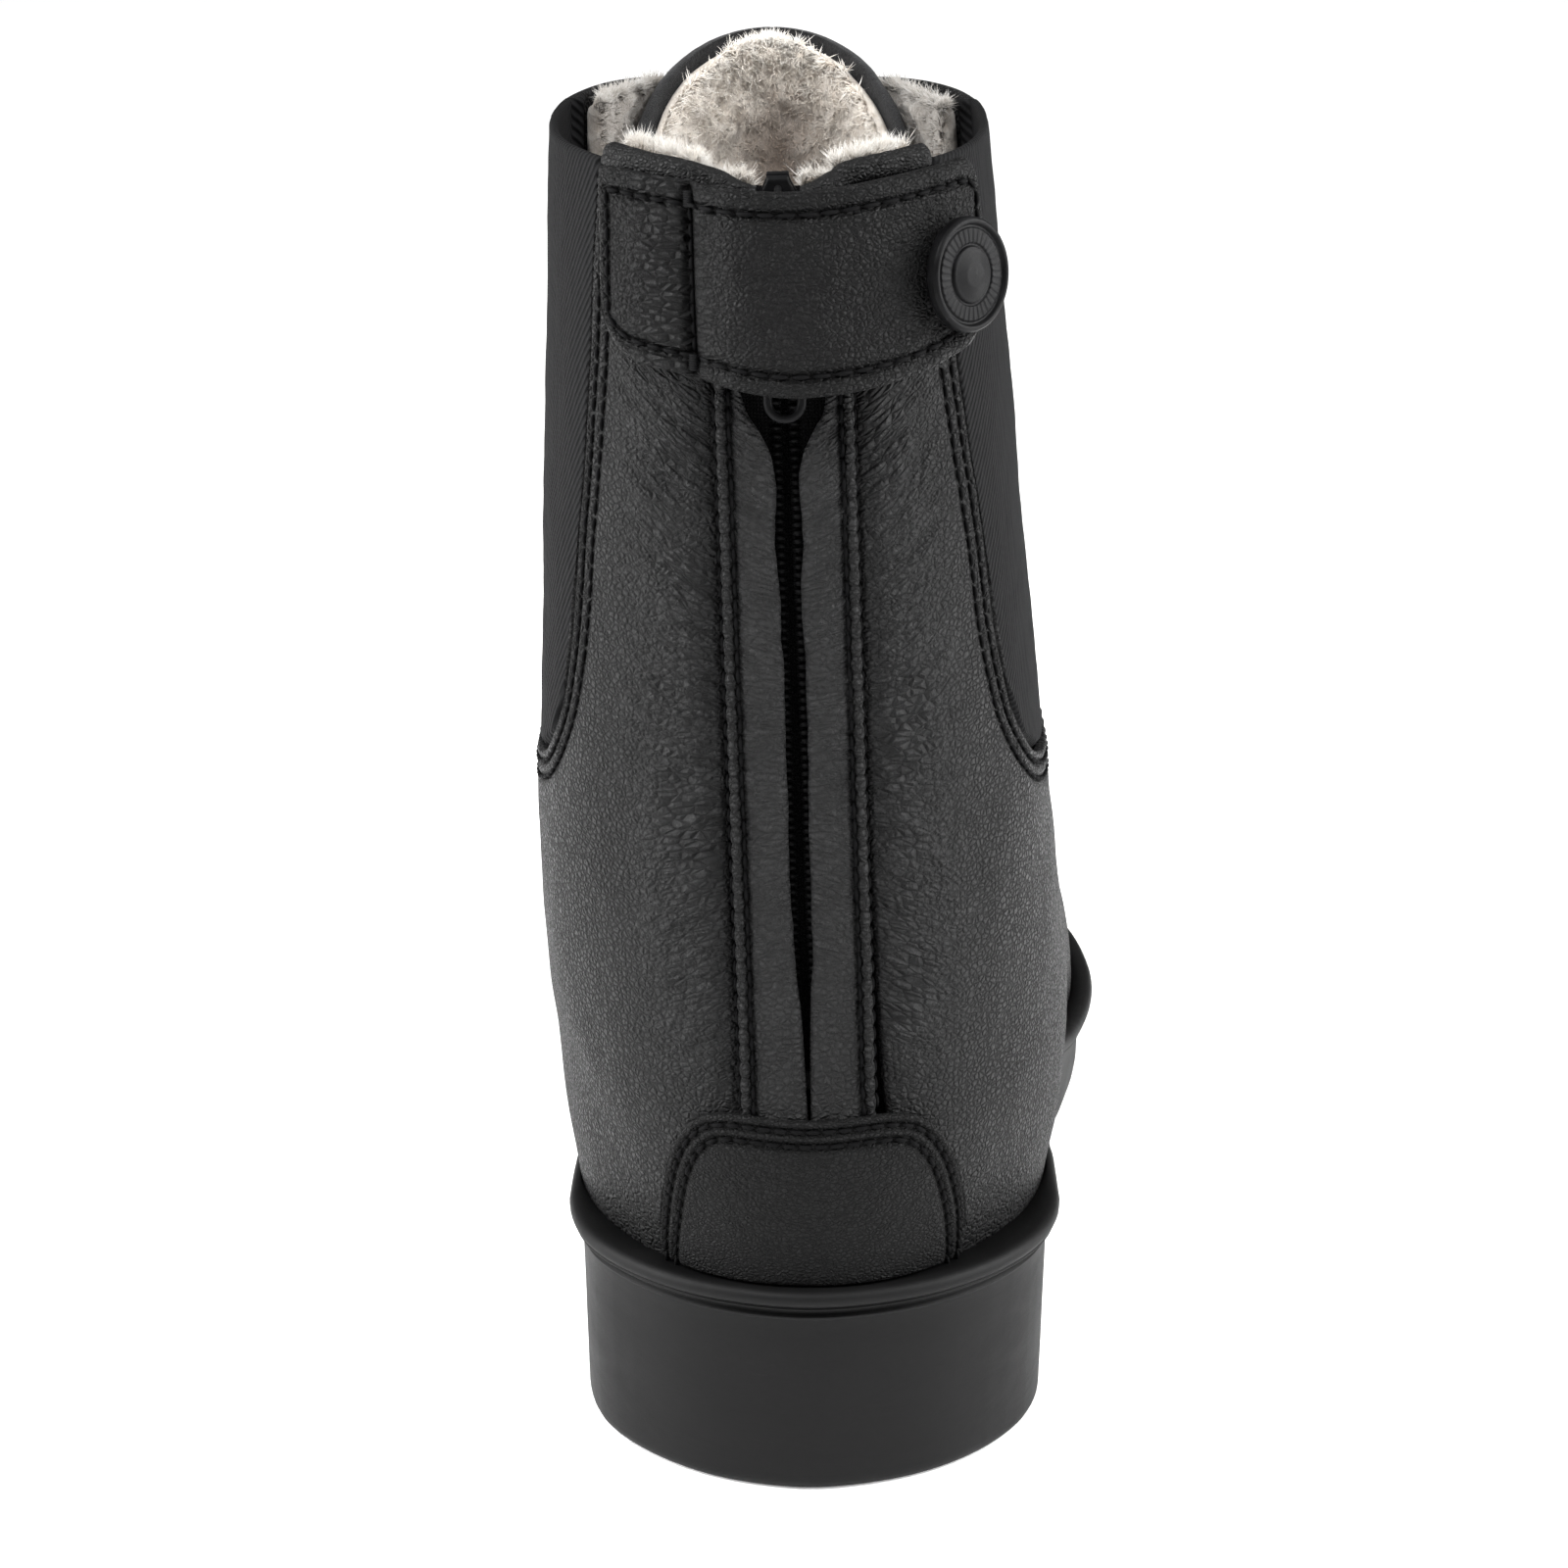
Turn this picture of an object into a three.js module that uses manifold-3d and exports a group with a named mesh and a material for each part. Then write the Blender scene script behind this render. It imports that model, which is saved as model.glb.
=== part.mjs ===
// A rider's right-foot winter ankle boot with a zip up the back, in millimetres.
// +X is the outer (lateral) side, +Y the toe, +Z up; the origin is on the ground under the heel.
import * as THREE from 'three';
import Module from 'manifold-3d';

const wasm = await Module();
wasm.setup();

// ---------- driving dimensions ----------

// Shaft: height, centre x, half width, back y, front y.
const SHAFT = [
  [26, 0, 31, -35.5, 80],
  [34, 0, 33.4, -37.9, 82],
  [45, 0.4, 37, -40.2, 84],
  [56, 0.3, 39, -41.1, 84],
  [66, -0.6, 40, -40.6, 82],
  [82, -1.8, 40, -39.6, 76],
  [100, -2.8, 39.2, -38.4, 70],
  [125, -3.7, 37.6, -36.8, 66.5],
  [160, -5, 35.2, -34.6, 65.5],
  [200, -6.4, 32.6, -32.1, 66.5],
];
// Foot: forward y, medial x, lateral x, featherline height, ridge height.
const FOOT = [
  [-24, -14, 14, 31, 46],
  [-10, -26, 27, 31, 64],
  [10, -32, 33.5, 31, 84],
  [45, -31, 34, 29.5, 98],
  [80, -32, 37, 22, 94],
  [115, -39, 44.6, 15, 78],
  [145, -44, 49.2, 13, 66],
  [175, -43.5, 47.6, 13, 59],
  [200, -38, 40.4, 14, 54],
  [220, -30.5, 30.5, 15.5, 48],
  [232, -22, 20, 17, 40],
  [238, -12.5, 10.5, 17.5, 30],
];
// Sole outline seen from above: forward y, medial x, lateral x.
const SOLE = [
  [-36.6, -13.6, 14],
  [-29.6, -23.6, 24.4],
  [-19, -31.6, 32.6],
  [-8, -34.9, 36.4],
  [6, -35.4, 37],
  [24, -34.6, 36.6],
  [45, -34.4, 36.8],
  [66, -34.4, 37.8],
  [90, -36.2, 41.2],
  [115, -41.8, 46.9],
  [140, -46.4, 51],
  [158, -47.4, 51.4],
  [178, -45.6, 48.8],
  [200, -40, 42],
  [219, -33, 32.5],
  [234, -21.5, 19.5],
];
const HEEL_TIP = -39.9;
const TOE_TIP = 244.4;
const HEEL_BREAST = 38;
const BALL_START = 98;
const TOE_SPRING_START = 188;
const TOE_SPRING = 6;

const AXIS_Y = 15;
const SHAFT_ROUNDNESS = 2.25;
const FOOT_ROUNDNESS = 2.3;
const INSTEP_BLEND = 16;

const LEATHER = 1.6;
const LINING_OUTER = -3.6;
const LINING_INNER = -7.2;
const SEAM_GAP = 0.3;

const ZIP_LOW = 62;
const ZIP_HIGH = 190;
const ZIP_EDGE = 9.4;
const ZIP_LEAN = 0.0346;
const ZIP_RAKE = 0.0634;

const SNAP_ACROSS = 25.8;
const SNAP_HEIGHT = 181.3;
const EYELET_HEIGHTS = [116, 133, 150, 167, 184];
const EYELET_HOLE = 3.2;

// Stations along the foot shared by every flat piece under it, so that they stack evenly.
const UNDERFOOT = [-34, -31, -26, -18, -8, 4, 18, 32, 46, 60, 74, 88, 102, 116, 132, 148, 164, 180,
  195, 208, 219, 227, 232];

// ---------- the skin of the boot ----------

const vec = (x, y, z) => new THREE.Vector3(x, y, z);
const radians = THREE.MathUtils.degToRad;
const degrees = THREE.MathUtils.radToDeg;
const mix = (a, b, t) => a + (b - a) * t;

// One column of a station table, read smoothly between its rows.
function read(table, column, at) {
  const last = table.length - 1;
  const x = Math.min(Math.max(at, table[0][0]), table[last][0]);
  let i = 0;
  while (i < last - 1 && x >= table[i + 1][0]) i += 1;
  const slope = (k) => {
    const before = table[Math.max(k - 1, 0)];
    const after = table[Math.min(k + 1, last)];
    return (after[column] - before[column]) / (after[0] - before[0]);
  };
  const span = table[i + 1][0] - table[i][0];
  const t = (x - table[i][0]) / span;
  const square = t * t;
  const cube = square * t;
  return (2 * cube - 3 * square + 1) * table[i][column]
    + (cube - 2 * square + t) * span * slope(i)
    + (3 * square - 2 * cube) * table[i + 1][column]
    + (cube - square) * span * slope(i + 1);
}

// Signed measure to the shaft: negative inside.
function shaftField(x, y, z) {
  const halfWidth = read(SHAFT, 2, z);
  const back = read(SHAFT, 3, z);
  const halfDepth = (read(SHAFT, 4, z) - back) / 2;
  const across = Math.abs((x - read(SHAFT, 1, z)) / halfWidth) ** SHAFT_ROUNDNESS;
  const along = Math.abs((y - back - halfDepth) / halfDepth) ** SHAFT_ROUNDNESS;
  return ((across + along) ** (1 / SHAFT_ROUNDNESS) - 1) * halfWidth;
}

// Signed measure to the foot: negative inside.
function footField(x, y, z) {
  const medial = read(FOOT, 1, y);
  const lateral = read(FOOT, 2, y);
  const under = read(FOOT, 3, y);
  const halfWidth = (lateral - medial) / 2;
  const height = read(FOOT, 4, y) - under;
  const across = Math.abs((x - (medial + lateral) / 2) / halfWidth) ** FOOT_ROUNDNESS;
  const up = Math.abs((z - under) / height) ** FOOT_ROUNDNESS;
  const round = ((across + up) ** (1 / FOOT_ROUNDNESS) - 1) * Math.min(halfWidth, height);
  const beyond = Math.max(0, y - FOOT[FOOT.length - 1][0]) + Math.max(0, FOOT[0][0] - y);
  return round + 3 * beyond;
}

// Shaft and foot melted together over the instep.
function field(x, y, z) {
  const a = shaftField(x, y, z);
  const b = footField(x, y, z);
  const h = Math.min(Math.max(0.5 + 0.5 * (b - a) / INSTEP_BLEND, 0), 1);
  return b * (1 - h) + a * h - INSTEP_BLEND * h * (1 - h);
}

function outward(p) {
  const e = 0.4;
  return vec(
    field(p.x + e, p.y, p.z) - field(p.x - e, p.y, p.z),
    field(p.x, p.y + e, p.z) - field(p.x, p.y - e, p.z),
    field(p.x, p.y, p.z + e) - field(p.x, p.y, p.z - e),
  ).normalize();
}

// Where a line from an inner point leaves the boot, or leaves it shrunk by some depth.
function leave(from, direction, depth = 0) {
  const at = (t) => depth
    + field(from.x + direction.x * t, from.y + direction.y * t, from.z + direction.z * t);
  let near = 0;
  while (at(near + 3) < 0 && near < 320) near += 3;
  let far = near + 3;
  for (let i = 0; i < 22; i += 1) {
    const middle = (near + far) / 2;
    if (at(middle) < 0) near = middle;
    else far = middle;
  }
  return from.clone().addScaledVector(direction, near);
}

const featherline = (y) => read(FOOT, 3, y);
const soleTop = (y) => featherline(y) - 1;

// Two ways of naming a place on the skin: by the angle from the back and the height,
// or by the angle over the foot and the distance forward.
const SHAFT_SPACE = {
  place([angle, z]) {
    const a = radians(angle);
    return leave(vec(read(SHAFT, 1, z), AXIS_Y, z), vec(Math.sin(a), -Math.cos(a), 0));
  },
  name(p) {
    return [degrees(Math.atan2(p.x - read(SHAFT, 1, p.z), AXIS_Y - p.y)), p.z];
  },
};
const footCentre = (y) => (read(FOOT, 1, y) + read(FOOT, 2, y)) / 2;
const FOOT_SPACE = {
  place([angle, y]) {
    const a = radians(angle);
    return leave(vec(footCentre(y), y, featherline(y)), vec(Math.cos(a), 0, Math.sin(a)));
  },
  name(p) {
    const angle = degrees(Math.atan2(p.z - featherline(p.y), p.x - footCentre(p.y)));
    return [angle < -90 ? angle + 360 : angle, p.y];
  },
};

// The straight zip line up the back, and places measured across it.
const zipX = (z) => -ZIP_LEAN * (z - ZIP_LOW);
const zipY = (z) => -32.1 - ZIP_RAKE * (200 - z);
function beside(across, z) {
  const reach = AXIS_Y - read(SHAFT, 3, z);
  return [degrees(Math.atan2(across + zipX(z) - read(SHAFT, 1, z), reach)), z];
}
const ZIP_UP = vec(-ZIP_LEAN, ZIP_RAKE, 1).normalize();
const ZIP_OUT = vec(0, -1, ZIP_RAKE).normalize();
const ZIP_ACROSS = ZIP_UP.clone().cross(ZIP_OUT).normalize();

// Places measured across the front of the shaft from its centre.
function besideFront(across, z, depth = 0) {
  const reach = read(SHAFT, 4, z) - AXIS_Y - depth;
  return [180 - degrees(Math.atan2(across, reach)), z];
}
const sidePlace = (side, y, z) => leave(vec(0, y, z), vec(side, 0, 0));

// ---------- making solids ----------

const constant = (value) => (typeof value === 'function' ? value : () => value);

function body(vertices, triangles) {
  const geometry = new THREE.BufferGeometry();
  const flat = vertices.flatMap((p) => [p.x, p.y, p.z]);
  geometry.setAttribute('position', new THREE.Float32BufferAttribute(flat, 3));
  let volume = 0;
  for (const [a, b, c] of triangles) {
    volume += vertices[a].dot(vertices[b].clone().cross(vertices[c]));
  }
  const ordered = volume < 0 ? triangles.map(([a, b, c]) => [a, c, b]) : triangles;
  geometry.setIndex(ordered.flat());
  geometry.computeVertexNormals();
  return geometry;
}

// A sheet with thickness between two grids of points.
function sheet(outer, inner) {
  const rows = outer.length;
  const columns = outer[0].length;
  const vertices = [...outer.flat(), ...inner.flat()];
  const half = rows * columns;
  const at = (r, c) => r * columns + c;
  const triangles = [];
  const quad = (a, b, c, d) => triangles.push([a, b, c], [a, c, d]);
  for (let r = 0; r < rows - 1; r += 1) {
    for (let c = 0; c < columns - 1; c += 1) {
      quad(at(r, c), at(r, c + 1), at(r + 1, c + 1), at(r + 1, c));
      triangles.push([half + at(r, c), half + at(r + 1, c + 1), half + at(r, c + 1)]);
      triangles.push([half + at(r, c), half + at(r + 1, c), half + at(r + 1, c + 1)]);
    }
  }
  const rim = [];
  for (let c = 0; c < columns - 1; c += 1) rim.push(at(0, c));
  for (let r = 0; r < rows - 1; r += 1) rim.push(at(r, columns - 1));
  for (let c = columns - 1; c > 0; c -= 1) rim.push(at(rows - 1, c));
  for (let r = rows - 1; r > 0; r -= 1) rim.push(at(r, 0));
  rim.forEach((a, i) => {
    const b = rim[(i + 1) % rim.length];
    quad(b, a, half + a, half + b);
  });
  return body(vertices, triangles);
}

// A panel of the boot ruled between a lower and an upper edge named in one space.
function panel(space, lower, upper, rows, outer, inner) {
  const outerAt = constant(outer);
  const innerAt = constant(inner);
  const grids = [[], []];
  rows.forEach((t, r) => {
    const line = lower.map((from, c) => {
      const place = space.place([mix(from[0], upper[c][0], t), mix(from[1], upper[c][1], t)]);
      const normal = outward(place);
      return [outerAt(c, r), innerAt(c, r)].map((d) => place.clone().addScaledVector(normal, d));
    });
    grids[0].push(line.map((pair) => pair[0]));
    grids[1].push(line.map((pair) => pair[1]));
  });
  return sheet(grids[0], grids[1]);
}

const steps = (n) => Array.from({ length: n + 1 }, (_, i) => i / n);

// Rings of equal count stacked into one body, with flat or gently curved ends.
function loft(rings) {
  const count = rings[0].length;
  const vertices = rings.flat();
  const triangles = [];
  for (let r = 0; r < rings.length - 1; r += 1) {
    for (let i = 0; i < count; i += 1) {
      const j = (i + 1) % count;
      const a = r * count;
      triangles.push([a + i, a + j, a + count + j], [a + i, a + count + j, a + count + i]);
    }
  }
  const plan = rings[0].map((p) => new THREE.Vector2(p.x, p.y));
  const top = (rings.length - 1) * count;
  const counterclockwise = THREE.ShapeUtils.area(plan) > 0;
  for (const [a, b, c] of THREE.ShapeUtils.triangulateShape(plan, [])) {
    const [p, q] = counterclockwise ? [b, c] : [c, b];
    triangles.push([a, q, p], [top + a, top + p, top + q]);
  }
  return body(vertices, triangles);
}

// A loop of equal cross-sections closed on itself.
function loop(sections) {
  const count = sections[0].length;
  const triangles = [];
  sections.forEach((_, s) => {
    const next = ((s + 1) % sections.length) * count;
    for (let i = 0; i < count; i += 1) {
      const j = (i + 1) % count;
      const a = s * count;
      triangles.push([a + i, a + j, next + j], [a + i, next + j, next + i]);
    }
  });
  return body(sections.flat(), triangles);
}

// A plate across the foot, ruled from side to side at each station.
function slab(stations, widthAt, under, over) {
  const sections = stations.map((y) => {
    const [medial, lateral] = widthAt(y);
    return [vec(medial, y, under(y)), vec(lateral, y, under(y)),
      vec(lateral, y, over(y)), vec(medial, y, over(y))];
  });
  const triangles = [[0, 1, 2], [0, 2, 3]];
  const last = (sections.length - 1) * 4;
  triangles.push([last, last + 2, last + 1], [last, last + 3, last + 2]);
  for (let s = 0; s < sections.length - 1; s += 1) {
    for (let i = 0; i < 4; i += 1) {
      const j = (i + 1) % 4;
      triangles.push([s * 4 + i, s * 4 + 4 + i, s * 4 + 4 + j], [s * 4 + i, s * 4 + 4 + j, s * 4 + j]);
    }
  }
  return body(sections.flat(), triangles);
}

function toSolid(geometry) {
  const clean = geometry.index ? geometry : null;
  const position = geometry.attributes.position;
  const index = clean ? clean.index.array : Array.from({ length: position.count }, (_, i) => i);
  const mesh = new wasm.Mesh({
    numProp: 3,
    vertProperties: new Float32Array(position.array),
    triVerts: new Uint32Array(index),
  });
  mesh.merge();
  return new wasm.Manifold(mesh);
}

function toGeometry(solid) {
  const mesh = solid.getMesh();
  const geometry = new THREE.BufferGeometry();
  geometry.setAttribute('position', new THREE.BufferAttribute(mesh.vertProperties, 3));
  geometry.setIndex(new THREE.BufferAttribute(mesh.triVerts, 1));
  geometry.computeVertexNormals();
  return geometry;
}

// A flat outline drawn in the y-z plane and spread across the boot.
function acrossBoot(outline, fromX, toX) {
  const shape = new THREE.Shape(outline.map(([y, z]) => new THREE.Vector2(y, z)));
  const geometry = new THREE.ExtrudeGeometry(shape, { depth: toX - fromX, bevelEnabled: false });
  geometry.applyMatrix4(new THREE.Matrix4().set(0, 0, 1, fromX, 1, 0, 0, 0, 0, 1, 0, 0, 0, 0, 0, 1));
  return geometry;
}

// Stand a piece whose own Z points out of the boot on the skin at a named place.
function standOn(mesh, place, offset) {
  const normal = outward(place);
  mesh.position.copy(place).addScaledVector(normal, offset);
  mesh.quaternion.setFromUnitVectors(vec(0, 0, 1), normal);
  return mesh;
}

// ---------- materials ----------

const material = (color, roughness, metalness = 0) =>
  new THREE.MeshStandardMaterial({ color, roughness, metalness });
const leather = material(0x1b1b1c, 0.55);
const bindingLeather = material(0x161617, 0.5);
const rubber = material(0x242425, 0.6);
const elastic = material(0x121213, 0.9);
const fleece = material(0xcfc6b8, 1);
const felt = material(0x2a2a2b, 0.95);
const zipTapeCloth = material(0x0d0d0e, 0.9);
const zipPlastic = material(0x17171a, 0.45);
const darkMetal = material(0x4a4b4d, 0.35, 0.9);
const board = material(0x6b5a45, 0.9);
const steel = material(0x8d9094, 0.4, 0.9);

const group = new THREE.Group();
function add(name, geometry, look) {
  const mesh = new THREE.Mesh(geometry, look);
  mesh.name = name;
  group.add(mesh);
  return mesh;
}
const SIDES = [['medial', -1], ['lateral', 1]];

// ---------- sole ----------

function soleOutline(inset) {
  const points = [vec(0, HEEL_TIP, 0)];
  SOLE.forEach(([y, , lateral]) => points.push(vec(lateral, y, 0)));
  points.push(vec(-1.2, TOE_TIP, 0));
  [...SOLE].reverse().forEach(([y, medial]) => points.push(vec(medial, y, 0)));
  const curve = new THREE.CatmullRomCurve3(points, true, 'centripetal');
  const ring = curve.getSpacedPoints(72).slice(0, 72);
  return ring.map((p, i) => {
    const before = ring[(i + 71) % 72];
    const after = ring[(i + 1) % 72];
    const along = after.clone().sub(before).normalize();
    const out = vec(along.y, -along.x, 0);
    return { point: p.clone().addScaledVector(out, -inset), out };
  });
}

const atHeight = (inset, z) => soleOutline(inset).map(({ point }) => vec(point.x, point.y, z));

function soleProfile() {
  const top = UNDERFOOT.map((y) => [y, soleTop(y)]);
  const under = [
    [260, TOE_SPRING + 2], [246, TOE_SPRING], [230, 3.4], [212, 1.3], [TOE_SPRING_START, 0],
    [BALL_START, 0], [86, 2.6], [72, 7.4], [60, 12], [52, 14.6], [45, 15.6], [HEEL_BREAST + 2, 14.4],
    [HEEL_BREAST, 0], [-60, 0],
  ];
  return [[-60, soleTop(-60)], ...top, [260, soleTop(260)], ...under];
}

// Shallow tread pockets kept inside the edge of the tread.
function treadPockets() {
  const bar = (y, halfLength, centre) => {
    const box = new THREE.BoxGeometry(halfLength * 2, 4, 3.2);
    box.translate(centre, y, 0);
    return box;
  };
  const forefoot = [108, 118, 128, 138, 148, 158, 168, 178].map((y) => {
    const medial = read(SOLE, 1, y) + 9;
    const lateral = read(SOLE, 2, y) - 9;
    return bar(y, (lateral - medial) / 2, (lateral + medial) / 2);
  });
  const heel = [-24, -14, 18, 28].map((y) => bar(y, read(SOLE, 2, y) - 10, 0));
  return [...forefoot, ...heel];
}

function outsole() {
  const column = loft([atHeight(1.9, 0), atHeight(1.1, 1), atHeight(0.9, 3), atHeight(0, 31.5)]);
  let solid = toSolid(column).intersect(toSolid(acrossBoot(soleProfile(), -80, 80)));
  const shankLine = UNDERFOOT.filter((y) => y >= -18 && y <= 88);
  const shankSlot = [
    ...shankLine.map((y) => [y, soleTop(y) + 1]),
    ...[...shankLine].reverse().map((y) => [y, soleTop(y) - 1.9]),
  ];
  solid = solid.subtract(toSolid(acrossBoot(shankSlot, -7.5, 7.5)));
  for (const pocket of treadPockets()) solid = solid.subtract(toSolid(pocket));
  return toGeometry(solid);
}

// Half-round bead moulded round the featherline, following its height.
function welt() {
  const sections = soleOutline(0).map(({ point, out }) => {
    const base = soleTop(point.y) + 0.35;
    const level = (inner, up, reach) => {
      if (!inner) return vec(point.x + out.x * reach, point.y + out.y * reach, base + up);
      const centre = vec(0, THREE.MathUtils.clamp(point.y, 0, 195), base + up);
      centre.x = centre.y > 30 ? footCentre(centre.y) : 0;
      const way = vec(point.x, point.y, base + up).sub(centre).normalize();
      return leave(centre, way).addScaledVector(way, reach);
    };
    return [level(true, 0, 0.8), level(false, 0, 1.1), level(false, 0.9, 1.9), level(false, 2.1, 1.7),
      level(true, 2.9, 0.8)];
  });
  return loop(sections);
}

function wallWidths(height, inset) {
  return (y) => {
    const z = height(y);
    const reach = (side) => {
      const centre = y > 30 ? footCentre(y) : 0;
      return leave(vec(centre, y, z), vec(side, 0, 0), inset).x;
    };
    return [reach(-1), reach(1)];
  };
}

function insoleBoard() {
  const stations = UNDERFOOT.filter((y) => y <= 227);
  return slab(stations, wallWidths((y) => soleTop(y) + 1.5, 3), (y) => soleTop(y) + 0.4,
    (y) => soleTop(y) + 2);
}

function footbed() {
  const stations = UNDERFOOT.filter((y) => y >= -27 && y <= 210);
  return slab(stations, wallWidths((y) => soleTop(y) + 4, 9.4), (y) => soleTop(y) + 2.4,
    (y) => soleTop(y) + 6.4);
}

function shank() {
  const stations = UNDERFOOT.filter((y) => y >= -8 && y <= 74);
  return slab(stations, () => [-6.5, 6.5], (y) => soleTop(y) - 1.5, (y) => soleTop(y) - 0.3);
}

add('outsole', outsole(), rubber);
add('welt', welt(), rubber);
add('insole_board', insoleBoard(), board);
add('shank', shank(), steel);
add('footbed', footbed(), fleece);

// ---------- leather panels ----------

// The lower corner of the gusset's front edge, where quarter, facing and vamp meet.
const CORNER = [117, 117];
const GUSSET_FOOT = [[47.8, 118.6], [55.4, 109.4], [68, 105], [82, 104], [96, 105], [108, 109], [115, 117]];
const SEAM_FOOT_Y = 58;

const mirrored = (side, list) => list.map(([angle, z]) => [side * angle, z]);

// The side seam, from the sole up to the corner.
function seamNames(side, shift, foot) {
  const low = sidePlace(side, SEAM_FOOT_Y + shift, featherline(SEAM_FOOT_Y) + foot);
  const [angle, z] = SHAFT_SPACE.name(low);
  return steps(4).map((t) => [
    mix(angle, side * (CORNER[0] + shift * 1.4), t),
    mix(z, CORNER[1], t),
  ]);
}

// A place just above the sole at an angle from the back.
function footEdge(angle, foot) {
  let z = featherline(0) + foot;
  for (let i = 0; i < 4; i += 1) z = featherline(SHAFT_SPACE.place([angle, z]).y) + foot;
  return [angle, z];
}

// Quarter: from the zip edge forward to the side seam, cut away over the gusset.
function quarter(side, edge, foot, top, outer, inner) {
  const seam = seamNames(side, -SEAM_GAP, foot);
  const lower = [
    beside(side * edge, featherline(0) + foot),
    ...[20, 28, 38, 47, 56, 66, 78, 90, 102, 114, 128].map((angle) => footEdge(side * angle, foot)),
    seam[0],
  ];
  const upper = [
    beside(side * edge, ZIP_HIGH - top), [side * 22, 190.6 - top],
    ...mirrored(side, [[34.4, 192.6 - top], [36.8, 170], [40.8, 144], [45.6, 120]]),
    ...mirrored(side, GUSSET_FOOT.slice(1, 6).map(([angle, z]) => [angle, z - 0.7])),
    ...mirrored(side, [[113.5, 112]]),
    seam[seam.length - 1],
  ];
  return panel(SHAFT_SPACE, lower, upper, [0, 0.06, 0.13, 0.21, 0.32, 0.48, 0.68, 0.86, 1], outer, inner);
}

function gusset(side) {
  const lower = mirrored(side, GUSSET_FOOT);
  const tops = [35.6, 48, 62, 77, 92, 105, 116.4];
  const upper = tops.map((angle) => [side * angle, mix(197, 198.4, (angle - 35) / 82)]);
  return panel(SHAFT_SPACE, lower, upper, [0, 0.1, 0.28, 0.5, 0.72, 0.88, 1], -0.2, -1.5);
}

const LACE_TOP = 16;
const LACE_FOOT = 7;
const laceEdge = (z) => mix(LACE_FOOT, LACE_TOP, (z - 100) / 98);

function facingFoot(side, lift) {
  const edge = besideFront(laceEdge(101), 101);
  return [
    [side * (CORNER[0] + 0.3), CORNER[1] + lift],
    [side * 132, 112 + lift],
    [side * 150, 106 + lift],
    [side * edge[0], 101 + lift],
  ];
}

function eyeletPlaces(side) {
  return EYELET_HEIGHTS.map((z) => {
    const [angle] = besideFront(laceEdge(z) + 6.5, z);
    return SHAFT_SPACE.place([side * angle, z]);
  });
}

function facing(side, top, outer, inner) {
  const lower = facingFoot(side, 0.5);
  const edge = besideFront(laceEdge(198), 198);
  const upper = [[side * 117.6, 198 - top], [side * 132, 198.2 - top], [side * 149, 198.2 - top],
    [side * edge[0], 197.6 - top]];
  const rows = [0, 0.08, 0.17, 0.28, 0.42, 0.62, 0.82, 1];
  let solid = toSolid(panel(SHAFT_SPACE, lower, upper, rows, outer, inner));
  for (const place of eyeletPlaces(side)) {
    const drill = new THREE.CylinderGeometry(EYELET_HOLE, EYELET_HOLE, 24, 8);
    drill.rotateX(Math.PI / 2);
    const mesh = standOn(new THREE.Mesh(drill), place, 0);
    mesh.updateMatrix();
    drill.applyMatrix4(mesh.matrix);
    drill.deleteAttribute('uv');
    drill.deleteAttribute('normal');
    solid = solid.subtract(toSolid(drill));
  }
  return toGeometry(solid);
}

const FRONT_ANGLES = [0, 13, 26, 39, 51, 61, 71, 81];

function vampRear(foot) {
  const half = (side) => {
    const names = [...seamNames(side, SEAM_GAP, foot), ...facingFoot(side, -0.1).slice(1)];
    return names.map((name) => FOOT_SPACE.name(SHAFT_SPACE.place(name)));
  };
  const ridge = FOOT_SPACE.name(SHAFT_SPACE.place([180, 98]));
  return [...half(1), ridge, ...half(-1).reverse()];
}

const TOE_LINE = 186;

function vamp(foot, outer, inner) {
  const lower = vampRear(foot);
  const low = degrees(Math.atan2(foot, 45));
  const right = FRONT_ANGLES.map((angle) => mix(low, 90, angle / 90));
  const upper = [...right, 90, ...right.map((angle) => 180 - angle).reverse()]
    .map((angle) => [angle, TOE_LINE - SEAM_GAP]);
  return panel(FOOT_SPACE, lower, upper, [0, 0.07, 0.16, 0.28, 0.42, 0.58, 0.78, 1], outer, inner);
}

// Closed end of the foot, spread from one inner point between the toe line and the featherline.
function toeEnd(foot, outer, inner) {
  const centre = vec(-1, TOE_LINE + SEAM_GAP, featherline(TOE_LINE));
  const low = degrees(Math.atan2(foot, 45));
  const reach = 50;
  const grids = [[], []];
  for (const t of steps(6)) {
    const line = steps(14).map((u) => {
      const over = radians(mix(low, 180 - low, u));
      const round = radians(mix(9, 171, u));
      const rise = featherline(TOE_LINE + reach * Math.sin(round)) - featherline(TOE_LINE);
      const drop = (foot + rise) / reach;
      const rear = vec(Math.cos(over), 0, Math.sin(over));
      const front = vec(Math.cos(round), Math.sin(round), drop).normalize();
      const way = rear.lerp(front, t).normalize();
      const place = leave(centre, way);
      const square = Math.max(0.7, way.dot(outward(place)));
      return [outer, inner].map((d) => place.clone().addScaledVector(way, d / square));
    });
    grids[0].push(line.map((pair) => pair[0]));
    grids[1].push(line.map((pair) => pair[1]));
  }
  return sheet(grids[0], grids[1]);
}

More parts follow.
